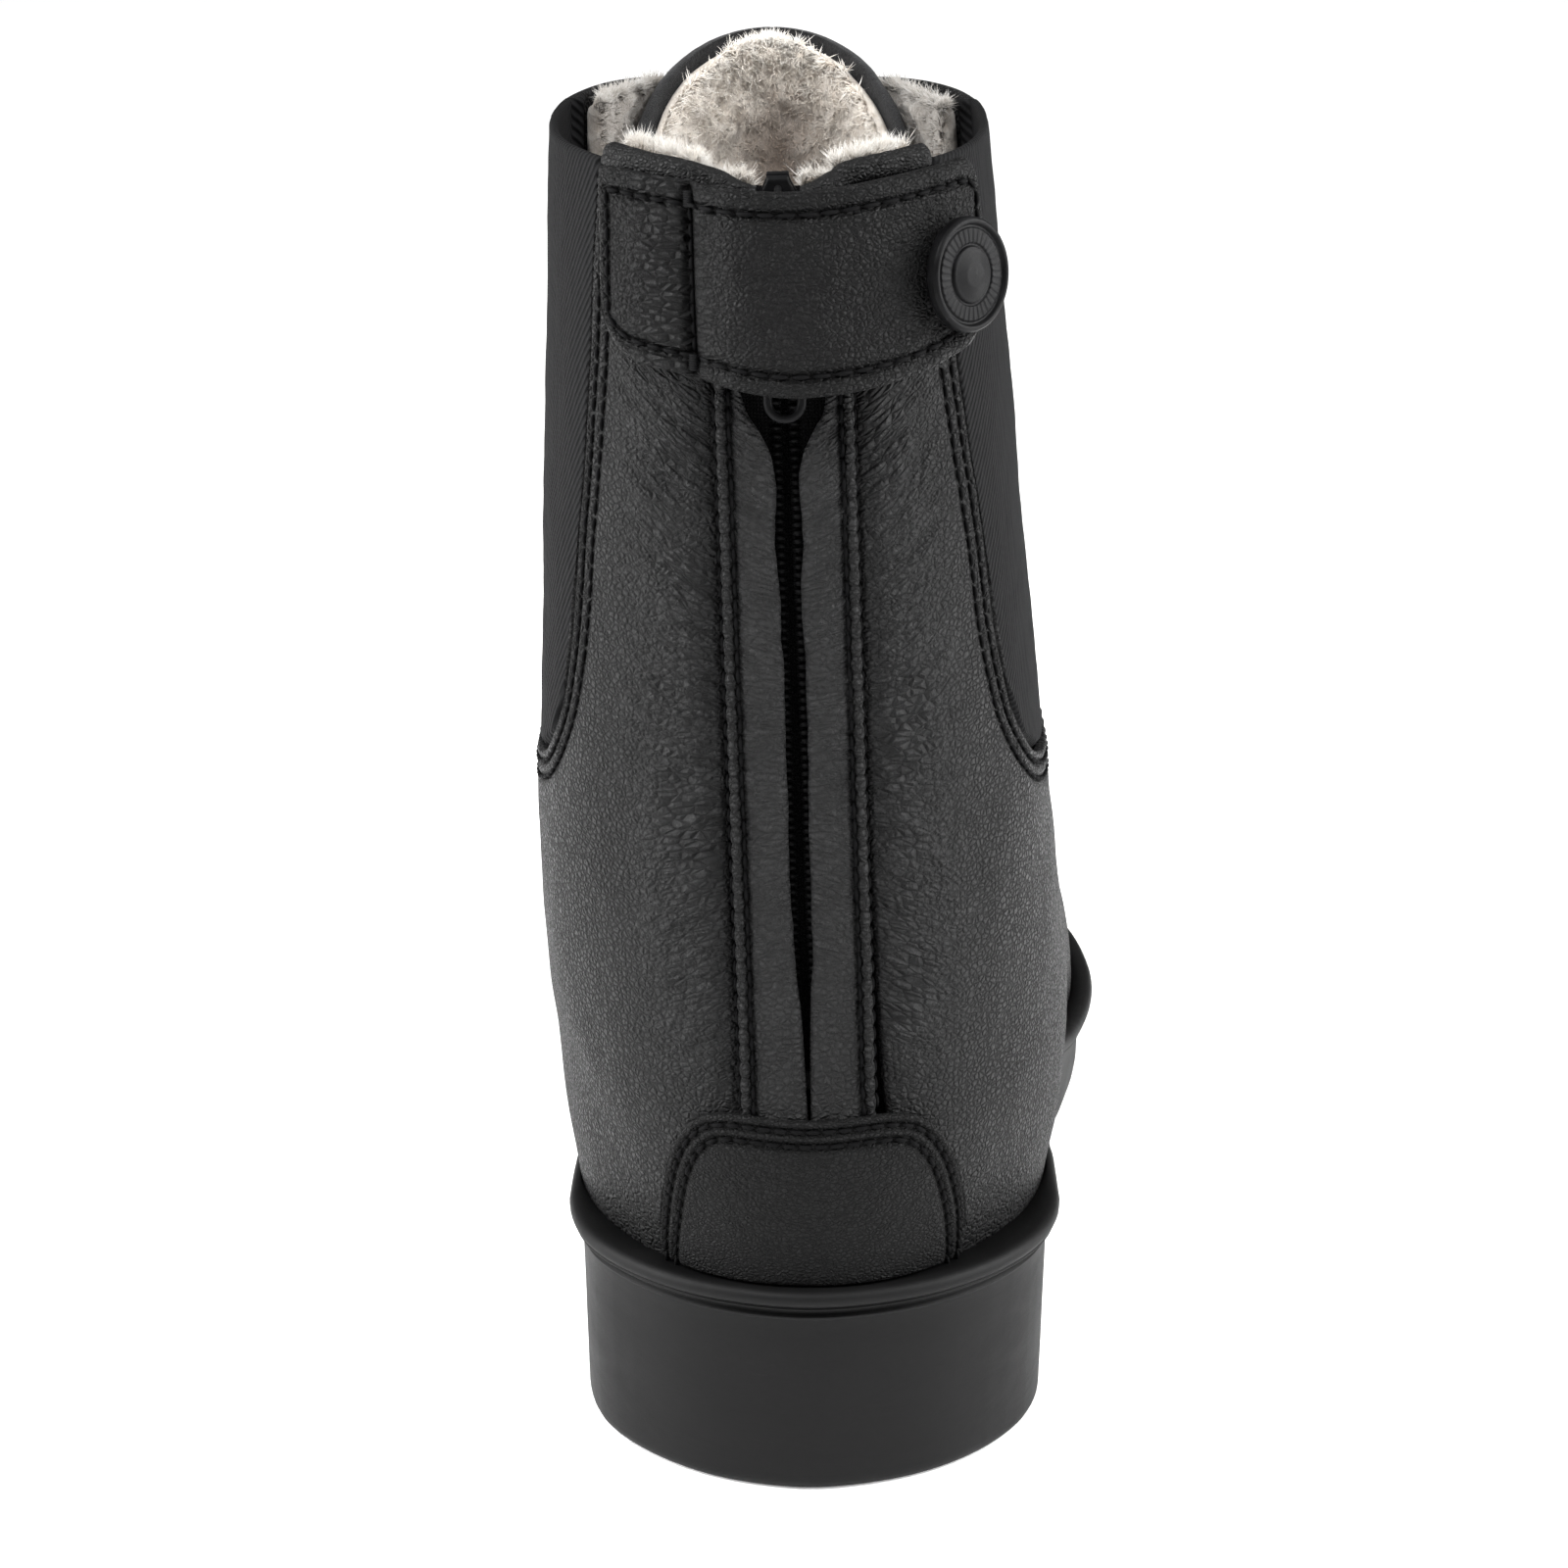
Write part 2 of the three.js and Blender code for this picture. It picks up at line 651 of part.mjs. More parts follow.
const FOOT_EDGE = -0.5;
const LINING_EDGE = 2;
for (const [name, side] of SIDES) {
  add(`quarter_${name}`, quarter(side, ZIP_EDGE, FOOT_EDGE, 0, 0, -LEATHER), leather);
  add(`gusset_${name}`, gusset(side), elastic);
  add(`facing_${name}`, facing(side, 0, 0, -LEATHER), leather);
  add(`lining_quarter_${name}`, quarter(side, 14.8, LINING_EDGE, 0.5, LINING_OUTER, LINING_INNER), fleece);
  add(`lining_facing_${name}`, facing(side, 0.6, LINING_OUTER, LINING_INNER), fleece);
}
add('vamp', vamp(FOOT_EDGE, 0, -LEATHER), leather);
add('toe_cap', toeEnd(FOOT_EDGE, 0, -LEATHER), leather);
add('lining_vamp', vamp(LINING_EDGE, LINING_OUTER, LINING_INNER), fleece);
add('lining_toe', toeEnd(LINING_EDGE, LINING_OUTER, LINING_INNER), fleece);
add('toe_puff', toeEnd(LINING_EDGE, -2.3, -3.1), felt);

// Stiff counter between the leather and the fleece of the heel.
function heelCounter() {
  const angles = steps(18).map((t) => mix(-74, 74, t));
  const lower = angles.map((angle) => [angle, featherline(0) + LINING_EDGE]);
  const upper = angles.map((angle) => [angle, 58 - (Math.abs(angle) / 74) ** 2 * 12]);
  return panel(SHAFT_SPACE, lower, upper, steps(3), -2.2, -3.1);
}

// Patch sewn over the back of the heel.
function heelPatch() {
  const lower = [-27.6, -24, -18.6, -12, 0, 12, 18.6, 24, 27.6].map((w) => beside(w, 34.4));
  const upper = [[-27.4, 38.5], [-23.3, 52], [-18.5, 58.5], [-12.4, 60.9], [0, 60.4], [12.4, 60.9],
    [18.8, 58.5], [23.6, 51.8], [27.4, 38.5]].map(([w, z]) => beside(w, z));
  return panel(SHAFT_SPACE, lower, upper, [0, 0.3, 0.6, 0.85, 1], 1.7, 0.5);
}

add('heel_counter', heelCounter(), felt);
add('heel_patch', heelPatch(), leather);

// Rolled binding along the collar between the zip and the gusset.
function collarBinding(side) {
  const names = [beside(side * 9.6, 192.2), beside(side * 14, 192.3), [side * 22, 193],
    [side * 28, 193.9], [side * 33.6, 194.8]];
  const points = names.map((name) => {
    const place = SHAFT_SPACE.place(name);
    return place.addScaledVector(outward(place), -2);
  });
  const path = new THREE.CatmullRomCurve3(points);
  const profile = new THREE.Shape().absarc(0, 0, 1.8, 0, Math.PI * 2);
  return new THREE.ExtrudeGeometry(profile,
    { steps: 8, extrudePath: path, bevelEnabled: false, curveSegments: 8 });
}
for (const [name, side] of SIDES) {
  add(`collar_binding_${name}`, collarBinding(side), bindingLeather);
}

// ---------- tongue and eyelets ----------

const TONGUE = [[95, 12], [101, 14], [108, 16], [117, 18], [130, 19.6], [152, 21], [174, 21.6], [188, 21],
  [195, 19.4], [200, 16.4], [203.4, 12.6], [205.6, 6]];

function tongueLayer(outer, inner, trim) {
  const across = [-1, -0.75, -0.5, -0.25, 0, 0.25, 0.5, 0.75, 1];
  const grids = [[], []];
  for (const [z, width] of TONGUE) {
    const line = across.map((t) => {
      const [angle] = besideFront(t * (width - trim), z - trim, 9);
      const place = SHAFT_SPACE.place([angle, z - trim]);
      const normal = outward(place);
      return [outer, inner].map((d) => place.clone().addScaledVector(normal, d));
    });
    grids[0].push(line.map((pair) => pair[0]));
    grids[1].push(line.map((pair) => pair[1]));
  }
  return sheet(grids[0], grids[1]);
}
add('tongue', tongueLayer(-8.9, -10.2, 0), felt);
add('tongue_lining', tongueLayer(-10.5, -13.5, 0.8), fleece);

function eyelet() {
  const profile = [[2.1, -2.2], [2.8, -2.2], [2.8, 0.4], [4.1, 0.4], [3.7, 1.1], [2.1, 1.1], [2.1, -2.2]];
  const geometry = new THREE.LatheGeometry(profile.map(([r, h]) => new THREE.Vector2(r, h)), 8);
  geometry.rotateX(Math.PI / 2);
  return geometry;
}
for (const [name, side] of SIDES) {
  eyeletPlaces(side).forEach((place, i) => {
    standOn(add(`eyelet_${name}_${i + 1}`, eyelet(), darkMetal), place, 0);
  });
}

// ---------- zip ----------

// Half width of the slit between the two guards at each height.
const SLIT = [[62.5, 0.6], [75, 0.95], [92, 1.25], [104, 1.45], [115, 1.6], [127, 1.8], [139, 2],
  [147, 1.8], [154, 1.7], [158.5, 2.6], [163, 4], [176, 4.3], [190, 4.4]];

function zipGuard(side) {
  const lower = SLIT.map(([z, slit]) => beside(side * slit, z));
  const upper = SLIT.map(([z]) => beside(side * (ZIP_EDGE - 0.4), z));
  return panel(SHAFT_SPACE, lower, upper, steps(2), 0, -1.4);
}

function zipTape(side) {
  const heights = [62.5, 80, 100, 120, 140, 160, 176, 190];
  const lower = heights.map((z) => beside(side * 3.4, z));
  const upper = heights.map((z) => beside(side * 14.2, z));
  return panel(SHAFT_SPACE, lower, upper, [0, 0.35, 0.68, 1], -3.4, -4.2);
}

// A straight run of coil teeth, drawn as a comb in the plane of the tape.
const TOOTH_RUN = 122;
const TOOTH_PITCH = 6.1;
function zipTeeth(side) {
  const shape = new THREE.Shape();
  shape.moveTo(side * 2.4, 0);
  shape.lineTo(side * 2.4, TOOTH_RUN);
  const count = Math.round(TOOTH_RUN / TOOTH_PITCH);
  for (let i = count; i > 0; i -= 1) {
    const top = i * TOOTH_PITCH;
    shape.lineTo(side * 0.75, top);
    shape.lineTo(side * 0.75, top - 3.6);
    shape.lineTo(side * 1.5, top - 4.1);
    shape.lineTo(side * 1.5, top - 5.6);
  }
  shape.lineTo(side * 0.75, 0);
  return new THREE.ExtrudeGeometry(shape, { depth: 1.1, bevelEnabled: false });
}

// Set a piece drawn as (across, up, out) onto the zip line.
function onZip(mesh, z, out) {
  const basis = new THREE.Matrix4().makeBasis(ZIP_ACROSS, ZIP_UP, ZIP_OUT);
  mesh.quaternion.setFromRotationMatrix(basis);
  mesh.position.set(zipX(z), zipY(z), z).addScaledVector(ZIP_OUT, out);
  return mesh;
}

for (const [name, side] of SIDES) {
  add(`zip_guard_${name}`, zipGuard(side), leather);
  add(`zip_tape_${name}`, zipTape(side), zipTapeCloth);
  onZip(add(`zip_teeth_${name}`, zipTeeth(side), zipPlastic), 68, -4.3);
}

const stop = new THREE.BoxGeometry(5, 3, 1.2);
onZip(add('zip_bottom_stop', stop, darkMetal), 65.4, -3.8);

const SLIDER_HEIGHT = 191.5;
const BRIDGE_HOLE = 1.2;
const PULL_PIVOT_OUT = 1.1;

// Two plates joined by a narrow neck, with a bridge for the pull standing out between the guards.
function zipSlider() {
  const half = 5;
  const beam = new THREE.Shape([[-3.8, -5.6], [3.8, -5.6], [3.8, -4.8], [0.35, -4.8], [0.35, -2.7],
    [3.8, -2.7], [3.8, -1.9], [-3.8, -1.9], [-3.8, -2.7], [-0.35, -2.7], [-0.35, -4.8], [-3.8, -4.8]]
    .map(([across, out]) => new THREE.Vector2(across, out)));
  const plates = new THREE.ExtrudeGeometry(beam, { depth: half * 2, bevelEnabled: false });
  plates.applyMatrix4(new THREE.Matrix4().set(1, 0, 0, 0, 0, 0, -1, half, 0, 1, 0, 0, 0, 0, 0, 1));
  const arch = new THREE.Shape();
  arch.moveTo(-3.2, -2.3);
  arch.lineTo(3.2, -2.3);
  arch.lineTo(3.2, 2);
  arch.lineTo(1.8, 3.1);
  arch.lineTo(-1.8, 3.1);
  arch.lineTo(-3.2, 2);
  arch.closePath();
  arch.holes.push(new THREE.Path().absarc(0, PULL_PIVOT_OUT, BRIDGE_HOLE, 0, Math.PI * 2, true));
  const bridge = new THREE.ExtrudeGeometry(arch, { depth: 1.4, bevelEnabled: false, curveSegments: 5 });
  bridge.applyMatrix4(new THREE.Matrix4().set(0, 0, 1, -0.7, 1, 0, 0, 0, 0, 1, 0, 0, 0, 0, 0, 1));
  return toGeometry(toSolid(plates).add(toSolid(bridge)));
}

// Wire pull threaded through the bridge: a long loop with a round pin across its top.
function zipPull() {
  const loopShape = new THREE.Shape();
  const wide = 3;
  const long = 27;
  const pin = 0.65;
  loopShape.moveTo(-wide, pin);
  loopShape.lineTo(wide, pin);
  loopShape.lineTo(wide, -long + wide);
  loopShape.absarc(0, -long + wide, wide, 0, -Math.PI, true);
  loopShape.closePath();
  const hole = new THREE.Path();
  hole.moveTo(-wide + pin * 2, -pin);
  hole.lineTo(-wide + pin * 2, -long + wide);
  hole.absarc(0, -long + wide, wide - pin * 2, Math.PI, Math.PI * 2, false);
  hole.lineTo(wide - pin * 2, -pin);
  hole.closePath();
  loopShape.holes.push(hole);
  const geometry = new THREE.ExtrudeGeometry(loopShape,
    { depth: pin * 2, bevelEnabled: false, curveSegments: 6 });
  return geometry.translate(0, 0, PULL_PIVOT_OUT - pin);
}
onZip(add('zip_slider', zipSlider(), darkMetal), SLIDER_HEIGHT, 0);
onZip(add('zip_pull', zipPull(), darkMetal), SLIDER_HEIGHT, 0);

// ---------- strap over the zip ----------

// Across, lower height, upper height, stand-off of the inner face.
const STRAP = [[-11.7, 168.2, 194.2, 0.6], [-9.4, 167.8, 194, 2], [-6, 167, 193.8, 4], [0, 166.2, 193.6, 5],
  [6, 166.2, 193.8, 4.9], [12, 166.8, 194.2, 4.5], [18, 168, 194.8, 4.1], [24, 170, 195.4, 3.9],
  [28.4, 172.6, 194.6, 3.8], [31, 177, 190.6, 3.7]];
const STRAP_THICK = 2.2;

function strap() {
  const lower = STRAP.map(([w, z]) => beside(w, z));
  const upper = STRAP.map(([w, , z]) => beside(w, z));
  const inner = (c) => STRAP[c][3];
  return panel(SHAFT_SPACE, lower, upper, steps(3), (c) => inner(c) + STRAP_THICK, inner);
}

function strapAnchor() {
  const rows = [[-24.6, 170.2, 196], [-20.4, 169.6, 195.4], [-16.2, 168.9, 194.8], [-12.2, 168.3, 194.2]];
  return panel(SHAFT_SPACE, rows.map(([w, z]) => beside(w, z)), rows.map(([w, , z]) => beside(w, z)),
    steps(3), 0.5 + STRAP_THICK, 0.5);
}
add('strap_anchor', strapAnchor(), leather);
add('strap', strap(), leather);

function turned(profile, segments) {
  const points = profile.map(([r, h]) => new THREE.Vector2(r, h));
  const geometry = new THREE.LatheGeometry(points, segments);
  geometry.rotateX(Math.PI / 2);
  return geometry;
}
// Cap with a raised rim, a ring and a plain domed middle.
const capProfile = [[0, 0], [7.6, 0], [8.1, 0.8], [8, 2], [7.2, 2.6], [6.2, 2.5], [5.7, 1.9], [4.9, 1.9],
  [4.4, 2.5], [2.4, 3], [0, 3.1]];
const socketProfile = [[0, -0.6], [3.3, -0.6], [3.3, -1.7], [4.4, -1.7], [5, -1], [4.8, 0], [0, 0]];
const studProfile = [[0, 0], [4.2, 0], [4, 0.5], [1.9, 0.6], [1.8, 1.3], [1.1, 1.8], [0, 1.8]];
const snapPlace = SHAFT_SPACE.place(beside(SNAP_ACROSS, SNAP_HEIGHT));
standOn(add('snap_cap', turned(capProfile, 20), darkMetal), snapPlace, 3.85 + STRAP_THICK + 0.35);
standOn(add('snap_socket', turned(socketProfile, 14), darkMetal), snapPlace, 3.85 - 0.65);
standOn(add('snap_stud', turned(studProfile, 14), darkMetal), snapPlace, 0.45);

export default group;
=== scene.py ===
"""A rider's right-foot winter ankle boot with a zip up the back: leather, elastic, fleece and rubber.

The skin of the boot is worked out in millimetres, in the CAD frame: +X outer side, +Y toe, +Z up.
"""

import math

import bpy
import numpy as np
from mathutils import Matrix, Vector, kdtree


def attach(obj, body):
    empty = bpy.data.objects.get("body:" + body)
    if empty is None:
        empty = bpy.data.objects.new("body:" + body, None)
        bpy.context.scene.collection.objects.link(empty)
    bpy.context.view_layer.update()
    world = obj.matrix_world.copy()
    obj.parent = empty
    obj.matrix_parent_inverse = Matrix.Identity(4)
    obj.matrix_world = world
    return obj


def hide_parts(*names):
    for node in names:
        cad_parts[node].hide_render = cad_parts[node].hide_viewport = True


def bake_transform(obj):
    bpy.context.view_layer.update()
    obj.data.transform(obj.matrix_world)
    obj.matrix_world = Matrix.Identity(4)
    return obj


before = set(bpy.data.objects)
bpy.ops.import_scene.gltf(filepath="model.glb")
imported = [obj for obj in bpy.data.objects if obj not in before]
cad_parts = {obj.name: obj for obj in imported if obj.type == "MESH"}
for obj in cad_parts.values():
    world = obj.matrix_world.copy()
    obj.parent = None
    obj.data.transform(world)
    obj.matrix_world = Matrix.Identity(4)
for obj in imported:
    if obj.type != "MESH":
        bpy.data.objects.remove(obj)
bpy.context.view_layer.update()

MM = 0.001
rng = np.random.default_rng(7)

# ---------- driving dimensions, the same stations as the CAD ----------

# Shaft: height, centre x, half width, back y, front y.
SHAFT = np.array([
    [26, 0, 31, -35.5, 80],
    [34, 0, 33.4, -37.9, 82],
    [45, 0.4, 37, -40.2, 84],
    [56, 0.3, 39, -41.1, 84],
    [66, -0.6, 40, -40.6, 82],
    [82, -1.8, 40, -39.6, 76],
    [100, -2.8, 39.2, -38.4, 70],
    [125, -3.7, 37.6, -36.8, 66.5],
    [160, -5, 35.2, -34.6, 65.5],
    [200, -6.4, 32.6, -32.1, 66.5],
])
# Foot: forward y, medial x, lateral x, featherline height, ridge height.
FOOT = np.array([
    [-24, -14, 14, 31, 46],
    [-10, -26, 27, 31, 64],
    [10, -32, 33.5, 31, 84],
    [45, -31, 34, 29.5, 98],
    [80, -32, 37, 22, 94],
    [115, -39, 44.6, 15, 78],
    [145, -44, 49.2, 13, 66],
    [175, -43.5, 47.6, 13, 59],
    [200, -38, 40.4, 14, 54],
    [220, -30.5, 30.5, 15.5, 48],
    [232, -22, 20, 17, 40],
    [238, -12.5, 10.5, 17.5, 30],
])
# Sole outline seen from above: forward y, medial x, lateral x.
SOLE = np.array([
    [-36.6, -13.6, 14],
    [-29.6, -23.6, 24.4],
    [-19, -31.6, 32.6],
    [-8, -34.9, 36.4],
    [6, -35.4, 37],
    [24, -34.6, 36.6],
    [45, -34.4, 36.8],
    [66, -34.4, 37.8],
    [90, -36.2, 41.2],
    [115, -41.8, 46.9],
    [140, -46.4, 51],
    [158, -47.4, 51.4],
    [178, -45.6, 48.8],
    [200, -40, 42],
    [219, -33, 32.5],
    [234, -21.5, 19.5],
])
HEEL_TIP = -39.9
TOE_TIP = 244.4
HEEL_BREAST = 38
AXIS_Y = 15
SHAFT_ROUNDNESS = 2.25
FOOT_ROUNDNESS = 2.3
INSTEP_BLEND = 16

LEATHER = 1.6
SEAM_GAP = 0.3
ZIP_LOW = 62
ZIP_EDGE = 9.4
ZIP_LEAN = 0.0346
ZIP_RAKE = 0.0634
STITCH = 2.5
THREAD = 0.33
THICK_THREAD = 0.34

SIDES = (("medial", -1), ("lateral", 1))

# ---------- the skin of the boot ----------


def hermite(t, here, leaving, there, arriving):
    """The smooth way from one value to another, with its slopes at both ends."""
    return (
        (2 * t**3 - 3 * t**2 + 1) * here
        + (t**3 - 2 * t**2 + t) * leaving
        + (3 * t**2 - 2 * t**3) * there
        + (t**3 - t**2) * arriving
    )


def read(table, column, at):
    """One column of a station table, read smoothly between its rows."""
    xs, ys = table[:, 0], table[:, column]
    slopes = np.empty(len(xs))
    slopes[1:-1] = (ys[2:] - ys[:-2]) / (xs[2:] - xs[:-2])
    slopes[0] = (ys[1] - ys[0]) / (xs[1] - xs[0])
    slopes[-1] = (ys[-1] - ys[-2]) / (xs[-1] - xs[-2])
    x = np.clip(at, xs[0], xs[-1])
    i = np.clip(np.searchsorted(xs, x, side="right") - 1, 0, len(xs) - 2)
    span = xs[i + 1] - xs[i]
    return hermite((x - xs[i]) / span, ys[i], span * slopes[i], ys[i + 1], span * slopes[i + 1])


def oval(a, b, power):
    """Size of a rounded box, 1 on its border, at shares a and b of its half widths."""
    return (np.abs(a) ** power + np.abs(b) ** power) ** (1 / power)


def field(p):
    """Signed measure to the boot, negative inside: shaft and foot melted together over the instep."""
    x, y, z = p[..., 0], p[..., 1], p[..., 2]
    half_width = read(SHAFT, 2, z)
    back = read(SHAFT, 3, z)
    half_depth = (read(SHAFT, 4, z) - back) / 2
    across, forward = (x - read(SHAFT, 1, z)) / half_width, (y - back - half_depth) / half_depth
    shaft = (oval(across, forward, SHAFT_ROUNDNESS) - 1) * half_width

    medial, lateral = read(FOOT, 1, y), read(FOOT, 2, y)
    base = read(FOOT, 3, y)
    half_width = (lateral - medial) / 2
    height = read(FOOT, 4, y) - base
    across, up = (x - (medial + lateral) / 2) / half_width, (z - base) / height
    foot = (oval(across, up, FOOT_ROUNDNESS) - 1) * np.minimum(half_width, height)
    foot = foot + 3 * (np.maximum(0, y - FOOT[-1, 0]) + np.maximum(0, FOOT[0, 0] - y))

    h = np.clip(0.5 + 0.5 * (foot - shaft) / INSTEP_BLEND, 0, 1)
    return foot * (1 - h) + shaft * h - INSTEP_BLEND * h * (1 - h)


def unit(v):
    return v / np.maximum(np.linalg.norm(v, axis=-1, keepdims=True), 1e-12)


def outward(p):
    e = 0.4 * np.eye(3)
    return unit(np.stack([field(p + e[k]) - field(p - e[k]) for k in range(3)], -1))


def leave(start, way, depth=0.0):
    """Where lines from inner points leave the boot, or leave it shrunk by some depth."""
    start, way = np.broadcast_arrays(np.asarray(start, float), np.asarray(way, float))
    shape = start.shape
    start, way = start.reshape(-1, 3), way.reshape(-1, 3)
    near = np.zeros(len(start))
    going = np.arange(len(start))
    while len(going) and near[going].max() < 320:
        ahead = start[going] + way[going] * (near[going, None] + 3)
        inside = field(ahead) + depth < 0
        near[going[inside]] += 3
        going = going[inside]
    far = near + 3
    for _ in range(15):
        middle = (near + far) / 2
        inside = field(start + way * middle[:, None]) + depth < 0
        near = np.where(inside, middle, near)
        far = np.where(inside, far, middle)
    return (start + way * near[:, None]).reshape(shape)


def featherline(y):
    return read(FOOT, 3, y)


def sole_top(y):
    return featherline(y) - 1


def foot_centre(y):
    return (read(FOOT, 1, y) + read(FOOT, 2, y)) / 2


class Space:
    """Names for places on the skin, two numbers each, kept on a lattice and read back smoothly."""

    def __init__(self, rays, first, last, steps):
        self.steps = np.array(steps, float)
        axes = [np.arange(a - 2 * s, b + 2 * s, s) for a, b, s in zip(first, last, steps)]
        self.low = np.array([axes[0][0], axes[1][0]])
        names = np.stack(np.meshgrid(*axes, indexing="ij"), -1)
        points = leave(*rays(names[..., 0], names[..., 1]))
        self.lattice = np.concatenate([points, outward(points)], -1)

    def place(self, names):
        """Points and outward normals at names, an array of pairs."""
        at = (np.asarray(names, float) - self.low) / self.steps
        cell = np.floor(at).astype(int)
        for k in range(2):
            cell[..., k] = np.clip(cell[..., k], 1, self.lattice.shape[k] - 3)
        t = at - cell
        weights = np.stack([
            -0.5 * t + t**2 - 0.5 * t**3,
            1 - 2.5 * t**2 + 1.5 * t**3,
            0.5 * t + 2 * t**2 - 1.5 * t**3,
            -0.5 * t**2 + 0.5 * t**3,
        ])
        total = 0
        for i in range(4):
            for j in range(4):
                w = weights[i][..., 0] * weights[j][..., 1]
                total = total + w[..., None] * self.lattice[cell[..., 0] + i - 1, cell[..., 1] + j - 1]
        return total[..., :3], unit(total[..., 3:])


def shaft_rays(angle, z):
    a = np.radians(angle)
    start = np.stack([read(SHAFT, 1, z), np.full(z.shape, AXIS_Y), z], -1)
    return start, np.stack([np.sin(a), -np.cos(a), 0 * a], -1)


def foot_rays(angle, y):
    a = np.radians(angle)
    start = np.stack([foot_centre(y), y, featherline(y)], -1)
    return start, np.stack([np.cos(a), 0 * a, np.sin(a)], -1)


def shaft_name(p):
    angle = np.degrees(np.arctan2(p[..., 0] - read(SHAFT, 1, p[..., 2]), AXIS_Y - p[..., 1]))
    return np.stack([angle, p[..., 2]], -1)


def foot_name(p):
    y = p[..., 1]
    angle = np.degrees(np.arctan2(p[..., 2] - featherline(y), p[..., 0] - foot_centre(y)))
    return np.stack([np.where(angle < -90, angle + 360, angle), y], -1)


shaft_space = Space(shaft_rays, (-180, 28), (219, 206), (1.5, 1.5))
foot_space = Space(foot_rays, (-6, 30), (186, 190), (2, 2))


def zip_x(z):
    return -ZIP_LEAN * (z - ZIP_LOW)


def zip_y(z):
    return -32.1 - ZIP_RAKE * (200 - z)


def beside(across, z):
    """The name of a place measured across the zip line."""
    across, z = np.broadcast_arrays(np.asarray(across, float), np.asarray(z, float))
    reach = AXIS_Y - read(SHAFT, 3, z)
    return np.stack([np.degrees(np.arctan2(across + zip_x(z) - read(SHAFT, 1, z), reach)), z], -1)


def across_zip(names):
    """How far from the zip line a named place is."""
    angle, z = names[..., 0], names[..., 1]
    reach = AXIS_Y - read(SHAFT, 3, z)
    return np.tan(np.radians(np.clip(angle, -75, 75))) * reach + read(SHAFT, 1, z) - zip_x(z)


def beside_front(across, z):
    """The name of a place measured across the middle of the shaft's front."""
    across, z = np.broadcast_arrays(np.asarray(across, float), np.asarray(z, float))
    reach = read(SHAFT, 4, z) - AXIS_Y
    return np.stack([180 - np.degrees(np.arctan2(across, reach)), z], -1)


zip_up = unit(np.array([-ZIP_LEAN, ZIP_RAKE, 1.0]))
zip_out = unit(np.array([0, -1.0, ZIP_RAKE]))
zip_across = unit(np.cross(zip_up, zip_out))

# ---------- noise ----------

GRADIENTS = unit(np.random.default_rng(3).normal(size=(4096, 3)))


def noise(points, size, seed=0):
    """Smooth noise between about -1 and 1, in lumps of about this size. size may differ by axis."""
    p = np.asarray(points, float) / size + 31.7 * seed
    cell = np.floor(p).astype(np.int64)
    f = p - cell
    u = f**3 * (f * (f * 6 - 15) + 10)
    total = 0
    for corner in np.ndindex(2, 2, 2):
        c = np.array(corner)
        at = cell + c
        key = (at[..., 0] * 73856093 ^ at[..., 1] * 19349663 ^ at[..., 2] * 83492791) & 4095
        weight = np.prod(np.where(c == 1, u, 1 - u), axis=-1)
        total = total + weight * np.sum(GRADIENTS[key] * (f - c), -1)
    return 1.6 * total


def bell(x, width):
    return np.exp(-(x / width) ** 2)


def ease(x, low, high):
    t = np.clip((x - low) / (high - low), 0, 1)
    return t * t * (3 - 2 * t)


# ---------- making meshes ----------


def volume(vertices, faces):
    """Six times the room inside closed faces, below zero when they face inwards."""
    total = 0
    for rows in faces:
        a = vertices[rows[:, 0]]
        for k in range(1, rows.shape[1] - 1):
            total += np.sum(a * np.cross(vertices[rows[:, k]], vertices[rows[:, k + 1]]))
    return total


def make(name, vertices, faces, look, body="boot", replaces=(), slot=None, uv=None, solid=True):
    """A named object from points in millimetres and rows of corner numbers, riding on a CAD body.

    A solid one is turned to face outwards.
    """
    mesh = bpy.data.meshes.new(name)
    vertices = np.asarray(vertices, float).reshape(-1, 3) * MM
    faces = faces if isinstance(faces, list) else [faces]
    if solid and volume(vertices - vertices.mean(0), faces) < 0:
        faces = [f[:, ::-1] for f in faces]
    corners = np.concatenate([np.asarray(f).ravel() for f in faces])
    starts = np.cumsum(np.concatenate([[0]] + [np.full(len(f), f.shape[1]) for f in faces]))[:-1]
    mesh.vertices.add(len(vertices))
    mesh.vertices.foreach_set("co", vertices.astype(np.float32).ravel())
    mesh.loops.add(len(corners))
    mesh.loops.foreach_set("vertex_index", corners.astype(np.int32))
    mesh.polygons.add(len(starts))
    mesh.polygons.foreach_set("loop_start", starts.astype(np.int32))
    mesh.update(calc_edges=True)
    mesh.polygons.foreach_set("use_smooth", np.full(len(mesh.polygons), True))
    if uv is not None:
        layer = mesh.uv_layers.new(name="cloth")
        layer.data.foreach_set("uv", np.asarray(uv, np.float32)[corners].ravel())
    mesh.validate()
    mesh.materials.append(look)
    thing = bpy.data.objects.new(name, mesh)
    bpy.context.scene.collection.objects.link(thing)
    if replaces:
        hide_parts(*replaces)
    if body:
        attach(thing, body)
    return thing


def grid_faces(rows, columns, start=0, flip=False, wrap=False):
    """Quads over a grid of points numbered row by row, closed round the columns if wrap."""
    r = np.arange(rows - 1)[:, None]
    c = np.arange(columns if wrap else columns - 1)[None, :]
    d = (c + 1) % columns
    a, b = r * columns + c, r * columns + d
    quads = np.stack([a, b, b + columns, a + columns], -1).reshape(-1, 4) + start
    return quads[:, ::-1] if flip else quads


